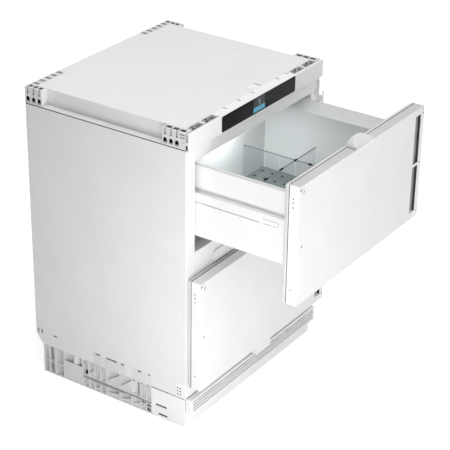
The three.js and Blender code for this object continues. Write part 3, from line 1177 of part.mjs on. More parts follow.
cabinet.add(mesh("condenser_fan_shroud", fanShroud(), blackPlastic));
cabinet.add(mesh("power_inlet", powerInlet(), blackPlastic));
cabinet.add(mesh("condenser_fan_rotor",
  fanRotor("x", COMPRESSOR_Y, COND_FAN_Z, COND_FAN_RADIUS, SHROUD_WALL / 2 + SEAT), blackPlastic));
cabinet.add(mesh("evaporator_fan_rotor",
  fanRotor("y", EVAP_FAN_X, EVAP_FAN_Z, EVAP_FAN_RADIUS, EVAP_COVER_Y + 2 * LINER_WALL + SEAT),
  whitePlastic));
for (const [name, x, y] of footPlaces()) {
  cabinet.add(mesh(`levelling_foot_${name}`, levellingFoot(x, y), blackPlastic));
}

const UPPER_SKIRT = UPPER_FRONT_TOP_Z - RIM_DROP - SIDE_WALL_HEIGHT - SIDE_GROOVE[0] - SIDE_COVER_HEIGHT
  - UPPER_FRONT_BOTTOM_Z - SKIRT_RISE;

// Each drawer is built closed, and its groups are then drawn out along -Y.
function addDrawer(name, bottom, top, open, skirt, stepped) {
  const drawer = new THREE.Group();
  drawer.position.y = -open;
  drawer.add(mesh(`${name}_front_panel`, frontSkin(bottom, top, stepped), whiteSteel));
  drawer.add(mesh(`${name}_front_foam`, frontFoam(bottom, top), foamYellow));
  drawer.add(mesh(`${name}_front_inner_panel`, frontInnerPanel(bottom, top), whitePlastic));
  drawer.add(mesh(`${name}_gasket`, gasket(bottom, top), gasketRubber));
  drawer.add(mesh(`${name}_tub`, tub(bottom, top, stepped), tubPlastic));
  const middleRunners = new THREE.Group();
  middleRunners.position.y = -open * RAIL_SHARE;
  for (const [sideName, side] of SIDES) {
    drawer.add(mesh(`${name}_side_${sideName}`, drawerSide(side, top, skirt), whiteSteel));
    middleRunners.add(mesh(`${name}_rail_middle_${sideName}`, middleRunner(side, top, skirt), zincSteel));
    cabinet.add(mesh(`${name}_rail_fixed_${sideName}`, fixedRunner(side, top, skirt), zincSteel));
  }
  refrigerator.add(drawer, middleRunners);
  return drawer;
}

const upperDrawer = addDrawer("upper", UPPER_FRONT_BOTTOM_Z, UPPER_FRONT_TOP_Z, UPPER_OPEN,
  UPPER_SKIRT, false);
upperDrawer.add(mesh("upper_floor_mat", floorMat(), matRubber));
upperDrawer.add(mesh("upper_divider_long", longDivider(), clearPlastic));
upperDrawer.add(mesh("upper_divider_cross", crossDivider(), clearPlastic));
addDrawer("lower", LOWER_FRONT_BOTTOM_Z, LOWER_FRONT_TOP_Z, 0, 0, true);

export default refrigerator;
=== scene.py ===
"""An undercounter drawer refrigerator, dressed over its CAD frame.

Lengths in the helpers of the small pieces are millimetres, and everywhere else metres.
"""

import math

import bmesh
import bpy
from mathutils import Matrix, Vector


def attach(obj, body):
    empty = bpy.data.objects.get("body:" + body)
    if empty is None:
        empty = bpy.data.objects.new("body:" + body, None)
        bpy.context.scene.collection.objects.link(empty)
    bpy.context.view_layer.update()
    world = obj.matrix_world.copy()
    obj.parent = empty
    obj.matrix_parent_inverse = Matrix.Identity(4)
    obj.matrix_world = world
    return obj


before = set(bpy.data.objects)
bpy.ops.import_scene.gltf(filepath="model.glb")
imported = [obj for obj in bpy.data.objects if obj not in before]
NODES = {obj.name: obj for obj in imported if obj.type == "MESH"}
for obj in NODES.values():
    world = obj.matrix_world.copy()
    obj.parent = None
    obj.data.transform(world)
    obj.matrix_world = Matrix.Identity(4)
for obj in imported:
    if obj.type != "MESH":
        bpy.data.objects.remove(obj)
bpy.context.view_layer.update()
MM = 0.001

# ---------------------------------------------------------------- camera
YAW, PITCH, ROLL = 0.97425168, 0.47594771, 0.01434421  # radians
CAMERA_PLACE = (-2.99964, -2.18895, 2.30100)
LENS = 125.86
forward = Vector((math.sin(YAW) * math.cos(PITCH), math.cos(YAW) * math.cos(PITCH), -math.sin(PITCH)))
level_right = Vector((math.cos(YAW), -math.sin(YAW), 0.0))
level_up = level_right.cross(forward)
right = level_right * math.cos(ROLL) + level_up * math.sin(ROLL)
up = right.cross(forward)
camera_data = bpy.data.cameras.new("camera")
camera_data.lens = LENS
camera_data.sensor_width = 36.0
camera_data.clip_start = 0.1
camera_data.clip_end = 50.0
camera = bpy.data.objects.new("camera", camera_data)
turn = Matrix((right, up, -forward)).transposed().to_4x4()
camera.matrix_world = Matrix.Translation(CAMERA_PLACE) @ turn
bpy.context.scene.collection.objects.link(camera)
bpy.context.scene.camera = camera
bpy.context.scene.view_settings.view_transform = "Standard"


# ---------------------------------------------------------------- materials
def linear(colour):
    """sRGB 0-255 to the linear colour of a shader."""
    out = []
    for c in colour:
        c /= 255.0
        out.append(c / 12.92 if c <= 0.04045 else ((c + 0.055) / 1.055) ** 2.4)
    return (*out, 1.0)


def shader(name):
    made = bpy.data.materials.new(name)
    made.use_nodes = True
    tree = made.node_tree
    return made, tree, tree.nodes["Principled BSDF"]


def noise(tree, scale, detail=3.0, stretch=(1.0, 1.0, 1.0), rough=0.55):
    where = tree.nodes.new("ShaderNodeTexCoord")
    mapping = tree.nodes.new("ShaderNodeMapping")
    mapping.inputs["Scale"].default_value = stretch
    grain = tree.nodes.new("ShaderNodeTexNoise")
    grain.inputs["Scale"].default_value = scale
    grain.inputs["Detail"].default_value = detail
    grain.inputs["Roughness"].default_value = rough
    tree.links.new(where.outputs["Object"], mapping.inputs["Vector"])
    tree.links.new(mapping.outputs["Vector"], grain.inputs["Vector"])
    return grain.outputs["Fac"]


def ramp(tree, factor, low, high, start=0.35, end=0.65):
    between = tree.nodes.new("ShaderNodeMapRange")
    between.inputs["From Min"].default_value = start
    between.inputs["From Max"].default_value = end
    between.inputs["To Min"].default_value = low
    between.inputs["To Max"].default_value = high
    tree.links.new(factor, between.inputs["Value"])
    return between.outputs["Result"]


def two_tones(tree, factor, first, second):
    mix = tree.nodes.new("ShaderNodeMix")
    mix.data_type = "RGBA"
    mix.inputs["A"].default_value = first
    mix.inputs["B"].default_value = second
    tree.links.new(factor, mix.inputs["Factor"])
    return mix.outputs["Result"]


def finish(name, colour, other, rough, grain=(900.0, 0.00004), patch=9.0, spread=0.04, metal=0.0,
           stretch=(1.0, 1.0, 1.0), coat=0.0, specular=0.5):
    """A surface of two close tones, with its roughness broken up and a fine grain in its normal."""
    made, tree, surface = shader(name)
    surface.inputs["Metallic"].default_value = metal
    surface.inputs["Coat Weight"].default_value = coat
    surface.inputs["Specular IOR Level"].default_value = specular
    broad = noise(tree, patch, 4.0, stretch)
    tree.links.new(two_tones(tree, ramp(tree, broad, 0.0, 1.0), linear(colour), linear(other)),
                   surface.inputs["Base Color"])
    middle = noise(tree, patch * 7.0, 3.0, stretch)
    tree.links.new(ramp(tree, middle, rough - spread, rough + spread), surface.inputs["Roughness"])
    fine = noise(tree, grain[0], 2.0, stretch)
    bump = tree.nodes.new("ShaderNodeBump")
    bump.inputs["Strength"].default_value = 0.6
    bump.inputs["Distance"].default_value = grain[1]
    tree.links.new(fine, bump.inputs["Height"])
    tree.links.new(bump.outputs["Normal"], surface.inputs["Normal"])
    return made


LOOKS = {
    "grey_painted_steel": finish("grey_painted_steel", (233, 232, 231), (230, 229, 228), 0.5),
    "white_painted_steel": finish("white_painted_steel", (240, 240, 239), (238, 237, 237), 0.42),
    "white_plastic": finish("white_plastic", (243, 243, 242), (238, 238, 237), 0.5, (1400.0, 0.00005)),
    "grey_plastic": finish("grey_plastic", (226, 226, 225), (219, 219, 218), 0.55, (1400.0, 0.00006)),
    "zinc_steel": finish("zinc_steel", (186, 189, 192), (172, 176, 180), 0.34, (260.0, 0.00003), 30.0,
                         0.08, 0.9),
    "black_glass": finish("black_glass", (20, 20, 20), (24, 24, 25), 0.12, (500.0, 0.000004), 12.0, 0.03,
                          specular=0.22),
    "tub_plastic": finish("tub_plastic", (218, 219, 218), (214, 215, 214), 0.36, (1100.0, 0.00003)),
    "mat_rubber": finish("mat_rubber", (138, 143, 143), (128, 133, 133), 0.8, (1800.0, 0.00012), 24.0),
    "fixing_plastic": finish("fixing_plastic", (222, 221, 219), (214, 213, 211), 0.55, (1400.0, 0.00006)),
    "gasket_rubber": finish("gasket_rubber", (212, 212, 211), (202, 202, 201), 0.75, (1500.0, 0.00006), 20.0),
    "foam": finish("foam", (232, 222, 186), (220, 208, 168), 0.95, (420.0, 0.0006), 40.0),
    "fin_aluminium": finish("fin_aluminium", (200, 204, 207), (184, 188, 192), 0.38, (380.0, 0.00004),
                            26.0, 0.08, 0.9),
    "compressor_shell": finish("compressor_shell", (30, 31, 33), (38, 39, 41), 0.38, (700.0, 0.00005),
                               14.0, 0.06, 0.3),
    "black_plastic": finish("black_plastic", (34, 35, 37), (42, 43, 45), 0.55, (1300.0, 0.00006), 18.0),
    # Black for real black plastic parts, and also painted shadow laid in holes, slots and gaps
    "black_and_painted_shadow": finish("black_and_painted_shadow", (10, 10, 11), (16, 16, 17), 0.85, (1300.0, 0.00004), 18.0,
                           specular=0.1),
}


def clear_plastic():
    made, tree, surface = shader("clear_plastic")
    surface.inputs["Base Color"].default_value = linear((104, 116, 118))
    surface.inputs["Transmission Weight"].default_value = 0.0
    surface.inputs["Alpha"].default_value = 0.08
    fine = noise(tree, 30.0, 2.0)
    tree.links.new(ramp(tree, fine, 0.08, 0.2), surface.inputs["Roughness"])
    bump = tree.nodes.new("ShaderNodeBump")
    bump.inputs["Strength"].default_value = 0.3
    bump.inputs["Distance"].default_value = 0.0002
    tree.links.new(fine, bump.inputs["Height"])
    tree.links.new(bump.outputs["Normal"], surface.inputs["Normal"])
    return made


def lamp_plastic():
    made, tree, surface = shader("lamp_plastic")
    surface.inputs["Emission Color"].default_value = linear((226, 244, 255))
    surface.inputs["Emission Strength"].default_value = 3.0
    fine = noise(tree, 700.0, 2.0)
    tree.links.new(two_tones(tree, fine, linear((244, 250, 255)), linear((232, 242, 250))),
                   surface.inputs["Base Color"])
    tree.links.new(ramp(tree, fine, 0.15, 0.3), surface.inputs["Roughness"])
    return made


LOOKS["clear_plastic"] = clear_plastic()
LOOKS["lamp_plastic"] = lamp_plastic()

FINISH_OF = {
    "side_panel": "grey_painted_steel",
    "back_panel": "grey_painted_steel",
    "top_cover": "grey_painted_steel",
    "corner_block": "grey_plastic",
    "lower_corner": "white_plastic",
    "front_frame": "white_plastic",
    "middle_rail": "white_plastic",
    "control_fascia": "white_plastic",
    "display_glass": "black_glass",
    "vent_grille": "white_plastic",
    "plinth_panel": "white_plastic",
    "base_side_cover": "white_plastic",
    "base_frame": "grey_plastic",
    "levelling_foot": "black_plastic",
    "inner_liner": "tub_plastic",
    "insulation_foam": "foam",
    "evaporator_cover": "tub_plastic",
    "evaporator_fan_rotor": "black_plastic",
    "evaporator": "fin_aluminium",
    "led_lamp": "lamp_plastic",
    "compressor": "compressor_shell",
    "condenser_fan": "black_plastic",
    "condenser": "fin_aluminium",
    "drip_tray": "black_plastic",
    "power_inlet": "black_plastic",
    "front_panel": "white_painted_steel",
    "front_foam": "foam",
    "front_inner_panel": "fixing_plastic",
    "gasket": "gasket_rubber",
    "tub": "tub_plastic",
    "side": "white_painted_steel",
    "rail": "zinc_steel",
    "floor_mat": "mat_rubber",
    "divider": "clear_plastic",
}


def finish_of(node):
    plain = node
    if not node.startswith("lower_corner"):
        plain = node.removeprefix("upper_").removeprefix("lower_")
    best = [key for key in FINISH_OF if plain.startswith(key)]
    return FINISH_OF[max(best, key=len)]


WELD_DISTANCE = 0.00001
FLAT_ANGLE = math.radians(0.5)
EDGE_RADIUS = 0.0006
EDGE_ANGLE = math.radians(40)
# Nodes whose small holes or thin blades leave no room for rounded edges
SHARP = ("corner_block", "lower_corner", "condenser_fan_rotor", "evaporator_fan_rotor")
for node_name, node in NODES.items():
    look = LOOKS[finish_of(node_name)]
    node.data.materials.clear()
    node.data.materials.append(look)
    weld = node.modifiers.new("weld", "WELD")
    weld.merge_threshold = WELD_DISTANCE
    plain = node.modifiers.new("plain_faces", "DECIMATE")
    plain.decimate_type = "DISSOLVE"
    plain.angle_limit = FLAT_ANGLE
    if node_name.startswith(SHARP):
        continue
    soft = node.modifiers.new("soft_edges", "BEVEL")
    soft.width = EDGE_RADIUS
    soft.segments = 2
    soft.limit_method = "ANGLE"
    soft.angle_limit = EDGE_ANGLE
    soft.use_clamp_overlap = True

# ---------------------------------------------------------------- studio
bpy.ops.mesh.primitive_plane_add(size=14.0, location=(0.0, 0.0, -0.0005))
floor = bpy.context.object
floor.name = "studio_floor"
floor_look, floor_tree, floor_surface = shader("studio_floor")
floor_surface.inputs["Roughness"].default_value = 0.9
floor_surface.inputs["Specular IOR Level"].default_value = 0.1
floor_surface.inputs["Base Color"].default_value = (0.76, 0.76, 0.76, 1.0)
floor_surface.inputs["Emission Color"].default_value = (1.0, 1.0, 1.0, 1.0)
seen = floor_tree.nodes.new("ShaderNodeLightPath")
glow = floor_tree.nodes.new("ShaderNodeMath")
glow.operation = "MULTIPLY"
glow.inputs[1].default_value = 0.55
floor_tree.links.new(seen.outputs["Is Camera Ray"], glow.inputs[0])
floor_tree.links.new(glow.outputs["Value"], floor_surface.inputs["Emission Strength"])
floor.data.materials.append(floor_look)

world = bpy.data.worlds.new("studio")
bpy.context.scene.world = world
world.use_nodes = True
sky = world.node_tree
ambient = sky.nodes["Background"]
ambient.inputs["Color"].default_value = (0.98, 0.99, 1.0, 1.0)
towards = sky.nodes.new("ShaderNodeTexCoord")
facing = sky.nodes.new("ShaderNodeVectorMath")
facing.operation = "DOT_PRODUCT"
facing.inputs[1].default_value = Vector((0.97, -0.18, 0.16)).normalized()
level = sky.nodes.new("ShaderNodeMapRange")
level.inputs["From Min"].default_value = -1.0
level.inputs["To Min"].default_value = 0.0
level.inputs["To Max"].default_value = 1.06
sky.links.new(towards.outputs["Generated"], facing.inputs[0])
sky.links.new(facing.outputs["Value"], level.inputs["Value"])
sky.links.new(level.outputs["Result"], ambient.inputs["Strength"])
backdrop = sky.nodes.new("ShaderNodeBackground")
backdrop.inputs["Color"].default_value = (1.0, 1.0, 1.0, 1.0)
backdrop.inputs["Strength"].default_value = 1.0
path = sky.nodes.new("ShaderNodeLightPath")
either = sky.nodes.new("ShaderNodeMath")
either.operation = "MAXIMUM"
any_of = sky.nodes.new("ShaderNodeMath")
any_of.operation = "MAXIMUM"
choose = sky.nodes.new("ShaderNodeMixShader")
sky.links.new(path.outputs["Is Camera Ray"], either.inputs[0])
sky.links.new(path.outputs["Is Glossy Ray"], either.inputs[1])
sky.links.new(either.outputs["Value"], any_of.inputs[0])
sky.links.new(path.outputs["Is Transmission Ray"], any_of.inputs[1])
sky.links.new(any_of.outputs["Value"], choose.inputs["Fac"])
sky.links.new(ambient.outputs["Background"], choose.inputs[1])
sky.links.new(backdrop.outputs["Background"], choose.inputs[2])
sky.links.new(choose.outputs["Shader"], sky.nodes["World Output"].inputs["Surface"])


def area_light(name, place, aim, size, power, colour=(1.0, 1.0, 1.0)):
    data = bpy.data.lights.new(name, "AREA")
    data.shape = "SQUARE"
    data.size = size
    data.energy = power
    data.color = colour
    lamp = bpy.data.objects.new(name, data)
    lamp.location = place
    lamp.rotation_euler = (Vector(aim) - Vector(place)).to_track_quat("-Z", "Y").to_euler()
    lamp.visible_camera = False
    bpy.context.scene.collection.objects.link(lamp)


area_light("front_left_light", (-1.05, -0.72, 0.36), (-0.29, -0.25, 0.36), 0.6, 5.8)
area_light("high_left_light", (-1.0, -0.9, 1.7), (0.1, -0.4, 0.65), 0.6, 3.0)
area_light("low_light", (-0.9, -2.0, 0.28), (-0.05, -0.25, 0.35), 1.0, 7.0)
area_light("key_light", (0.4, -3.0, 2.4), (0.0, 0.0, 0.45), 2.4, 12.0)
area_light("top_light", (-0.3, 0.0, 3.2), (0.0, -0.1, 0.8), 1.8, 20.0)
area_light("cabinet_lamp_light", (0.0, -0.163, 0.728), (0.0, -0.175, 0.3), 0.1, 0.7, (0.95, 0.99, 1.0))


# ---------------------------------------------------------------- small pieces
# Lengths here are millimetres in the part's frame. The upper drawer stands open by UPPER_OPEN.
HALF, FRAME_Y, REAR_Y = 297.5, -240.0, 250.0
FRONT_HALF, SKIN_FRONT_Y, SKIN_REAR_Y = 292.0, -282.0, -252.7
UPPER_OPEN = 270.0
DRAWERS = (("upper", 461.0, 768.0, UPPER_OPEN), ("lower", 123.0, 430.0, 0.0))
SIDES = (-1, 1)  # left and right, as a sign on x
made_looks = {}


def tone(name, colour, other, rough=0.6, **more):
    if name not in made_looks:
        made_looks[name] = finish(name, colour, other, rough, **more)
    return made_looks[name]


class Shape:
    """Collects solids in one mesh."""

    def __init__(self):
        self.mesh = bmesh.new()

    def slab(self, x0, x1, y0, y1, z0, z1):
        made = bmesh.ops.create_cube(self.mesh, size=1.0)["verts"]
        size = [abs(x1 - x0) * MM, abs(y1 - y0) * MM, abs(z1 - z0) * MM]
        middle = [(x0 + x1) / 2 * MM, (y0 + y1) / 2 * MM, (z0 + z1) / 2 * MM]
        bmesh.ops.scale(self.mesh, vec=size, verts=made)
        bmesh.ops.translate(self.mesh, vec=middle, verts=made)
        return self

    def prism(self, axis, points, start, end):
        """An outline on the two other axes, in order, drawn along the axis."""
        rings = []
        for w in (start, end):
            ring = []
            for u, v in points:
                place = {"x": (w, u, v), "y": (u, w, v), "z": (u, v, w)}[axis]
                ring.append(self.mesh.verts.new([c * MM for c in place]))
            rings.append(ring)
        faces = [self.mesh.faces.new(rings[0]), self.mesh.faces.new(rings[1])]
        for i in range(len(points)):
            j = (i + 1) % len(points)
            faces.append(self.mesh.faces.new((rings[0][i], rings[0][j], rings[1][j], rings[1][i])))
        bmesh.ops.recalc_face_normals(self.mesh, faces=faces)
        return self

    def disc(self, axis, u, v, radius, start, end, sides=14):
        step = 2 * math.pi / sides
        ring = [(u + radius * math.cos(i * step), v + radius * math.sin(i * step)) for i in range(sides)]
        return self.prism(axis, ring, start, end)

    def arch(self, axis, u, v, width, height, start, end):
        half = width / 2
        top = [(u + half * math.cos(math.pi * i / 8), v + height - half + half * math.sin(math.pi * i / 8))
               for i in range(9)]
        return self.prism(axis, [(u - half, v), (u + half, v), *top], start, end)

    def piece(self, name, look, body, bevel=0.0, slot=None, smooth=False):
        data = bpy.data.meshes.new(name)
        self.mesh.to_mesh(data)
        self.mesh.free()
        made = bpy.data.objects.new(name, data)
        bpy.context.scene.collection.objects.link(made)
        data.materials.append(look)
        if bevel:
            soft = made.modifiers.new("soft_edges", "BEVEL")
            soft.width = bevel * MM
            soft.segments = 2
            soft.limit_method = "ANGLE"
        if smooth:
            data.shade_smooth()
            data.set_sharp_from_angle(angle=math.radians(35))
        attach(made, body)
        return made


# Tones of painted shade, for pieces set in recesses, gaps and holes where there is only shade; BLACK also
# serves the real black divider clips
BLACK = LOOKS["black_and_painted_shadow"]
DARK = tone("recess_shade_dark", (58, 58, 60), (50, 50, 52), 0.8)
DIM = tone("recess_shade_dim", (104, 103, 102), (92, 91, 90), 0.8)
SHADE = tone("shaded_recess", (158, 157, 155), (146, 145, 143), 0.8)

# Painted shade in the grooves, holes and pockets of the cabinet's head: dark and grey pieces set inside them
# where there is only shade
slot_shadows = Shape()
clips = Shape()
arches = Shape()
arms = Shape()
strips = Shape()
ribs = Shape()
for side in SIDES:
    # Painted shade: dark fill of the groove under the side panel's top edge, dark floors in the side arms'
    # pockets, and small dark marks on the front arms
    clips.slab(side * (HALF - 0.66), side * (HALF - 0.12), FRAME_Y + 1, REAR_Y - 1, 774.2, 776.9)
    for y in (-214.5, -197.5, -180.5, 205.0, 223.0, 241.0):
        arches.arch("x", y, 781.7, 11.2, 14.2, side * (HALF - 3.0), side * (HALF - 1.6))
        ribs.slab(side * (HALF - 1.7), side * (HALF - 0.9), y - 5.5, y + 5.5, 781.9, 785.0)
        ribs.slab(side * (HALF - 3.7), side * (HALF - 2.6), y - 2.3, y + 2.3, 803.4, 819.0)
        arches.slab(side * (HALF - 2.6), side * (HALF - 0.8), y - 2.35, y + 2.35, 803.2, 805.4)
    for y0, y1 in ((-233.8, -216.5), (-213.2, -195.9), (-192.5, -175.2),
                   (202.2, 214.8), (218.2, 230.8), (234.2, 246.8)):
        clips.slab(side * 279.5, side * 291.3, y0, y1, 812.4, 817.6)
        for step in (0.25, 0.5, 0.75):
            y = y0 + step * (y1 - y0)
            strips.slab(side * 279.5, side * 291.3, y - 0.7, y + 0.7, 815.0, 819.0)
    for x0, x1 in ((171.5, 216.0), (226.5, 271.0)):
        arms.slab(side * x0, side * x1, -239.8, -224.0, 812.4, 817.4)
        strips.slab(side * (x0 + 5), side * (x0 + 19), -235.5, -229.5, 817.2, 818.6)
        clips.slab(side * (x0 + 30), side * (x0 + 36), -237.5, -233.5, 817.0, 819.2)
        clips.slab(side * (x0 + 24), side * (x0 + 29), -228.5, -225.0, 817.0, 819.2)
    for i in range(5):
        x0 = 171.5 + 22 * i
        arms.slab(side * x0, side * (x0 + 11.6), 230.0, 248.3, 812.4, 818.4)
    for z in (804.0, 811.5):
        arches.slab(side * (HALF - 2.9), side * (HALF - 0.9), -237.3, -222.7, z + 1.4, z + 3.5)
    arches.slab(side * (HALF - 2.9), side * (HALF - 0.9), -235.9, -233.1, 794.1, 796.9)
    arches.slab(side * 296.0, side * 295.0, -245.8, -240.8, 777.0, 789.6)
    arches.slab(side * 296.0, side * 295.0, -245.8, -244.0, 797.4, 817.2)
for x in (-120, -60, 0, 114, 156):
    slot_shadows.slab(x + 0.2, x + 3.3, -232.1, -220.4, 815.8, 819.3)
slot_shadows.slab(50.6, 54.9, -218.0, -195.6, 817.15, 817.9)
# Painted shade: black in the top's slots and inside the side holes, grey and dark floors and strips in the
# pockets, grey over the holes' lower parts
slot_shadows.piece("head_slot_shadows", BLACK, "cabinet", slot="black_plastic")
arches.piece("head_hole_shadows", BLACK, "cabinet", slot="black_plastic")
arms.piece("head_arm_pocket_shade", SHADE, "cabinet", slot="grey_plastic")
strips.piece("head_side_pocket_shade", DIM, "cabinet", slot="black_plastic")
clips.piece("head_shade_and_dark_marks", DARK, "cabinet", slot="black_plastic")
ribs.piece("head_rib_shade", SHADE, "cabinet", slot="grey_plastic")

# The display's fields
TILE = tone("display_tile", (62, 63, 64), (68, 69, 70), 0.3)
BAR = tone("display_bar", (112, 192, 226), (104, 184, 220), 0.3)
DIGIT = tone("display_digit", (214, 218, 220), (206, 210, 212), 0.3)
tile = Shape().slab(-26.5, 22, -250.12, -249.9, 781.2, 817.2)
tile.piece("display_tile", TILE, "cabinet", slot="black_glass")
bar = Shape().slab(-27, 23, -250.2, -249.9, 780.6, 792.4)
bar.piece("display_bar", BAR, "cabinet", slot="lamp_plastic")
digit = Shape()
for x0, x1, z0, z1 in ((-5, 2, 808.6, 810), (-5, -3.6, 803.6, 810), (-5, 2, 802.9, 804.3),
                       (0.6, 2, 797.4, 804.3), (-5, 2, 796.4, 797.8)):
    digit.slab(x0, x1, -250.2, -249.9, z0, z1)
digit.piece("display_digit", DIGIT, "cabinet", slot="white_plastic")

# Drawer fronts: painted shade in the gap behind the skin, in the holes and slits and in the channel, real
# clips, and painted shade on the open front's top face
for name, bottom, top, opened in DRAWERS:
    body = f"{name}_drawer"

    def y(closed, shift=opened):
        return closed - shift

    # Painted shade: dark strips in the gap behind the skin's edges and in the notch beside the tab
    gap = Shape()
    gap.slab(-FRONT_HALF + 1, FRONT_HALF - 1, y(SKIN_REAR_Y - 2.4), y(SKIN_REAR_Y - 0.1),
             top - 0.5, top + 0.3)
    gap.slab(-42, -39, y(SKIN_REAR_Y - 27), y(SKIN_REAR_Y - 2), top - 0.5, top + 0.35)
    for side in SIDES:
        gap.slab(side * (FRONT_HALF - 0.5), side * (FRONT_HALF + 0.15), y(SKIN_REAR_Y - 1.9),
                 y(SKIN_REAR_Y - 0.1), bottom + 1, top - 1)
    gap.piece(f"{name}_front_gap_shade", DARK, body, slot="black_plastic")
    # Painted shade: grey on the channel's floor, dark on its wall
    floor_plate = Shape().slab(251.5, 279.2, y(SKIN_FRONT_Y + 7.2), y(SKIN_FRONT_Y + 7.9),
                               bottom + 19, top - 19)
    floor_plate.piece(f"{name}_channel_floor_shade", SHADE, body, slot="black_plastic")
    wall = Shape().slab(277.4, 279.3, y(SKIN_FRONT_Y + 1.4), y(SKIN_FRONT_Y + 7.1), bottom + 19, top - 19)
    wall.piece(f"{name}_channel_wall_shade", DARK, body, slot="black_plastic")
    # Painted shade: the open front's top face is toned greyer than its face; the closed front keeps its white
    if opened:
        shaded_top = Shape()
        for x0, x1 in ((-FRONT_HALF + 1.5, -42.5), (41.5, FRONT_HALF - 1.5)):
            shaded_top.slab(x0, x1, y(SKIN_FRONT_Y + 0.8), y(SKIN_REAR_Y - 3.2), top - 0.6, top + 0.3)
        shaded_top.piece(f"{name}_front_top_shade", tone("top_face_shade_tone", (204, 203, 201), (197, 196, 194), 0.6), body, 0.2,
                  "grey_plastic")
    # Painted shade: black in the holes, in the slits and along a line at the front's top right corner
    holes = Shape()
    for z in (top - 33, top - 43, top - 55, bottom + 39):
        holes.disc("x", y(SKIN_FRONT_Y + 17), z, 1.7, -FRONT_HALF - 0.12, -FRONT_HALF + 0.5)
    holes.disc("y", -276, (bottom + top) / 2 - 2, 2.2, y(SKIN_FRONT_Y - 0.12), y(SKIN_FRONT_Y + 0.5))
    holes.prism("y", [(-291.5, top - 11), (-287.5, top - 11.5), (-284.5, top - 5), (-288, top - 5.5)],
                y(SKIN_FRONT_Y - 0.2), y(SKIN_FRONT_Y + 0.5))
    holes.prism("y", [(-278.5, top - 20), (-275.5, top - 20), (-271, top - 14), (-273, top - 13.5)],
                y(SKIN_FRONT_Y - 0.2), y(SKIN_FRONT_Y + 0.5))
    holes.prism("y", [(291.6, top - 1.2), (291.6, top - 3.6), (281.4, top - 18.6), (279.6, top - 18.6)],
                y(SKIN_FRONT_Y - 0.25), y(SKIN_FRONT_Y + 0.5))
    for z in (bottom + 17, (bottom + top) / 2, top - 17):
        holes.disc("y", FRONT_HALF - 5.5, z, 2.9, y(SKIN_FRONT_Y - 1.45), y(SKIN_FRONT_Y))
    holes.piece(f"{name}_front_hole_shadows", BLACK, body, slot="black_plastic")
    clips = Shape()
    clips.prism("y", [(-284.5, top - 11), (-281, top - 11), (-274, top - 4), (-277, top - 4)],
                y(SKIN_FRONT_Y - 1.1), y(SKIN_FRONT_Y + 0.4))
    clips.piece(f"{name}_front_clips", LOOKS["fixing_plastic"], body, 0.3, "grey_plastic")

# Drawer sides: the clip's outline
for name, bottom, top, opened in DRAWERS:
    marks = Shape()
    for side in SIDES:
        x0, x1 = side * 254.8, side * 255.1
        y0, y1 = -204 - opened, -163 - opened
        z0, z1 = top - 141, top - 129
        marks.slab(x0, x1, y0, y1, z1, z1 + 0.8)
        marks.slab(x0, x1, y0, y0 + 0.8, z0, z1)
        marks.slab(x0, x1, y1 - 22, y1, z0, z0 + 0.8)
        marks.slab(x0, x1, y0 + 4, y0 + 14, z0, z0 + 0.8)
    marks.piece(f"{name}_side_clips", DARK, f"{name}_drawer", slot="black_plastic")

# Inside the upper drawer
MAT_TOP, DIVIDER_TOP = 517.3, 613.3
LONG_DIVIDER_X, CROSS_DIVIDER_Y = (110.9, 113.1), (-291.8, -289.6)
# Painted shade: black discs in the mat's holes
mat_holes = Shape()
for i in range(-5, 6):
    for j in range(12):
        mat_holes.disc("z", 36.0 * i, -147.0 - 31.2 * j, 4.4, MAT_TOP - 0.3, MAT_TOP + 0.25, 10)
mat_holes.piece("upper_mat_hole_shadows", BLACK, "upper_drawer", slot="black_plastic")
edges = Shape()
edges.slab(*LONG_DIVIDER_X, -513.2, -131.0, DIVIDER_TOP - 0.7, DIVIDER_TOP + 0.6)
edges.slab(-34.1, 208.5, *CROSS_DIVIDER_Y, DIVIDER_TOP - 0.7, DIVIDER_TOP + 0.6)
edges.slab(*LONG_DIVIDER_X, -513.2, -511.8, 520.0, DIVIDER_TOP - 0.3)
edges.slab(-34.1, -32.7, *CROSS_DIVIDER_Y, 520.0, DIVIDER_TOP - 0.3)
edge_look = tone("divider_edge", (96, 104, 106), (84, 92, 94), 0.3)
edges.piece("upper_divider_edges", edge_look, "upper_drawer", slot="clear_plastic")
clips = Shape()
for x0, x1 in ((-34, -20), (35, 52), (106, 118)):
    clips.slab(x0, x1, -292.9, -288.5, DIVIDER_TOP - 2.1, DIVIDER_TOP + 1.5)
clips.slab(109.6, 114.4, -340, -329, DIVIDER_TOP - 2.1, DIVIDER_TOP + 1.5)
clips.piece("upper_divider_clips", BLACK, "upper_drawer", 0.4, "black_plastic")

# Small plastic parts at the cabinet's front, and painted shade in their gaps, in the slots and seams and on
# the grille's top
bracket = Shape()
bracket.slab(288.9, 291.7, -245.9, FRAME_Y - 0.2, 706, 764)
bracket.slab(288.6, 295.6, -243.4, FRAME_Y - 0.2, 744, 750)
bracket.slab(288.6, 296.4, -244.0, FRAME_Y - 0.2, 698, 704)
bracket.slab(292.7, 296.4, -250.0, FRAME_Y - 0.2, 704, 722)
bracket.prism("x", [(-250.0, 704), (-256.0, 701), (-257.0, 734), (-254.6, 736), (-253.4, 716), (-250.0, 720)],
              293.2, 296.4)
bracket.piece("front_bracket", LOOKS["white_plastic"], "cabinet", 0.5, "white_plastic")
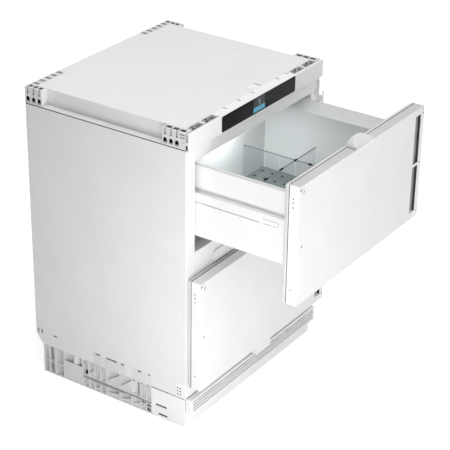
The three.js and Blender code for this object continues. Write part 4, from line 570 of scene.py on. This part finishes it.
# Painted shade in the bracket's hollow and in a slit of the frame
hollow = Shape().slab(291.8, 292.6, -243.0, FRAME_Y - 0.1, 706, 716)
hollow.slab(279.2, 280.6, FRAME_Y - 0.2, FRAME_Y - 0.08, 722, 742)
hollow.piece("front_bracket_gap_shade", DIM, "cabinet", slot="black_plastic")
screw = Shape().disc("y", 291.9, 702.0, 2.8, -246.0, -243.8).disc("x", -254.0, 706, 2.4, 296.2, 297.0)
screw_look = tone("red_screw", (196, 122, 118), (182, 110, 108), 0.4)
screw.piece("front_bracket_screw", screw_look, "cabinet", 0.3, "zinc_steel")
# Painted shadow: black in the slots of the sides, along the base cover's top seam and under the lower front's
# bottom edge
black_shadows = Shape()
for side in SIDES:
    for y0, y1, z0, z1 in ((-227.9, -211.5, 90.5, 118.0), (-131.0, 56.0, 113.2, 119.8),
                           (177.0, 193.0, 118.0, 124.2), (226.8, 246.0, 114.8, 130.4)):
        black_shadows.slab(side * 296.06, side * 296.24, y0, y1, z0, z1)
    black_shadows.slab(side * 293.6, side * 294.2, -186.0, -143.0, 5.0, 42.0)
    black_shadows.slab(side * 290.0, side * 294.3, -236.5, -133.2, 83.2, 85.95)
    black_shadows.slab(side * 294.2, side * 296.2, -186.0, -133.2, 81.9, 83.7)
black_shadows.slab(-293.5, 293.5, -242.4, -240.25, 85.9, 86.24)
black_shadows.slab(-232, 293.5, -247.6, -242.3, 85.9, 86.24)
black_shadows.piece("slot_and_seam_shadows", BLACK, "cabinet", slot="black_plastic")

# Painted shade: the grille's top flange, under the lower front's overhang, toned grey
overhang_shade = Shape().slab(-293.0, 293.0, -257.4, -247.7, 85.9, 86.3)
overhang_shade.slab(-293.0, -232.0, -247.8, -242.4, 85.9, 86.3)
overhang_shade_look = tone("overhang_shade_tone", (226, 226, 225), (220, 220, 219), 0.6)
overhang_shade.piece("grille_top_shade", overhang_shade_look, "cabinet", slot="grey_plastic")

# Sides of the base: painted shade in the gaps beside its ribs and in the long groove under its shelf, then
# gussets and a screw boss
gaps = Shape()
shades = Shape()
faint = Shape()
gussets = Shape()
boss = Shape()
for side in SIDES:
    deep, face = side * 285.2, side * 295.3
    for y, z0, z1 in ((161.5, 4, 34.5), (161.5, 40, 83.2)):
        gaps.slab(deep, side * 292.6, y, y + 3.6, z0, z1)
    faint.slab(deep, side * 296.2, -45, 92, 28.8, 34.6)
    faint.slab(deep, side * 296.2, -126, -48, 31.0, 34.6)
    shades.slab(deep, side * 296.24, -45, 92, 34.5, 35.9)
    shades.slab(deep, side * 296.24, -126, -48, 34.5, 35.9)
    gaps.slab(deep, face, 81.5, 85.5, 43, 50)
    for y0, y1, z0, z1 in ((-129.6, -115.2, 31.2, 33.2), (-129.6, -118.4, 19.4, 21.6),
                           (-129.6, -117.4, 7.4, 9.8), (-113.4, -99.8, 25.0, 26.8),
                           (-78.0, -70.5, 79.6, 83.3), (-102.5, -98.7, 79.6, 83.3),
                           (-119.5, -116.4, 79.0, 83.3)):
        gaps.slab(side * 293.9, face, y0, y1, z0, z1)
    for y0, y1, z0, z1 in ((192.4, 195.6, 4, 34.5), (192.4, 195.6, 40, 83.2), (206.5, 208.9, 6, 83),
                           (38.1, 41.6, 42, 83), (57.0, 60.5, 42, 83), (18.2, 21.0, 40, 83),
                           (-26.0, -22.6, 40, 83), (-64.7, -61.6, 40, 70),
                           (-95.7, -93.0, 4, 33), (-84.0, -82.6, 40, 78), (-113.2, -111.8, 40, 78),
                           (-129.4, -128.0, 40, 78), (94.8, 97.2, 62, 83.2)):
        faint.slab(deep, side * 288.0, y0, y1, z0, z1)
    for y0, y1, low, high in ((15.2, -25.8, 46, 72), (-28.9, -64.6, 44, 70), (74.6, 57.0, 44, 60)):
        outline = [(y0, 38.6), (y1, 38.6), (y1, high), (y1 + 3, high), (y0, low)]
        gussets.prism("x", outline, deep, side * 293.4)
    for y0, y1 in ((15.2, -25.8), (-28.9, -64.6), (-67.5, -95.8), (54.1, 38.2)):
        gussets.prism("x", [(y0, 3.2), (y1, 3.2), (y1, 17), (y0, 7)], deep, side * 292.4)
    boss.disc("z", side * 284.5, 122.0, 11.0, 57.5, 83.2, 20)
    boss.disc("z", side * 284.5, 122.0, 8.0, 4.0, 57.2, 16)
# Painted shade: black in the deep gaps, dim and grey in the groove and beside the ribs
gaps.piece("base_side_gap_shadows", BLACK, "cabinet", slot="black_plastic")
shades.piece("base_side_shades", DIM, "cabinet", slot="black_plastic")
faint.piece("base_side_rib_shades", SHADE, "cabinet", slot="grey_plastic")
gussets.piece("base_side_gussets", LOOKS["grey_plastic"], "cabinet", 0.4, "grey_plastic")
boss.piece("base_side_bosses", LOOKS["grey_plastic"], "cabinet", 0.5, "grey_plastic", smooth=True)
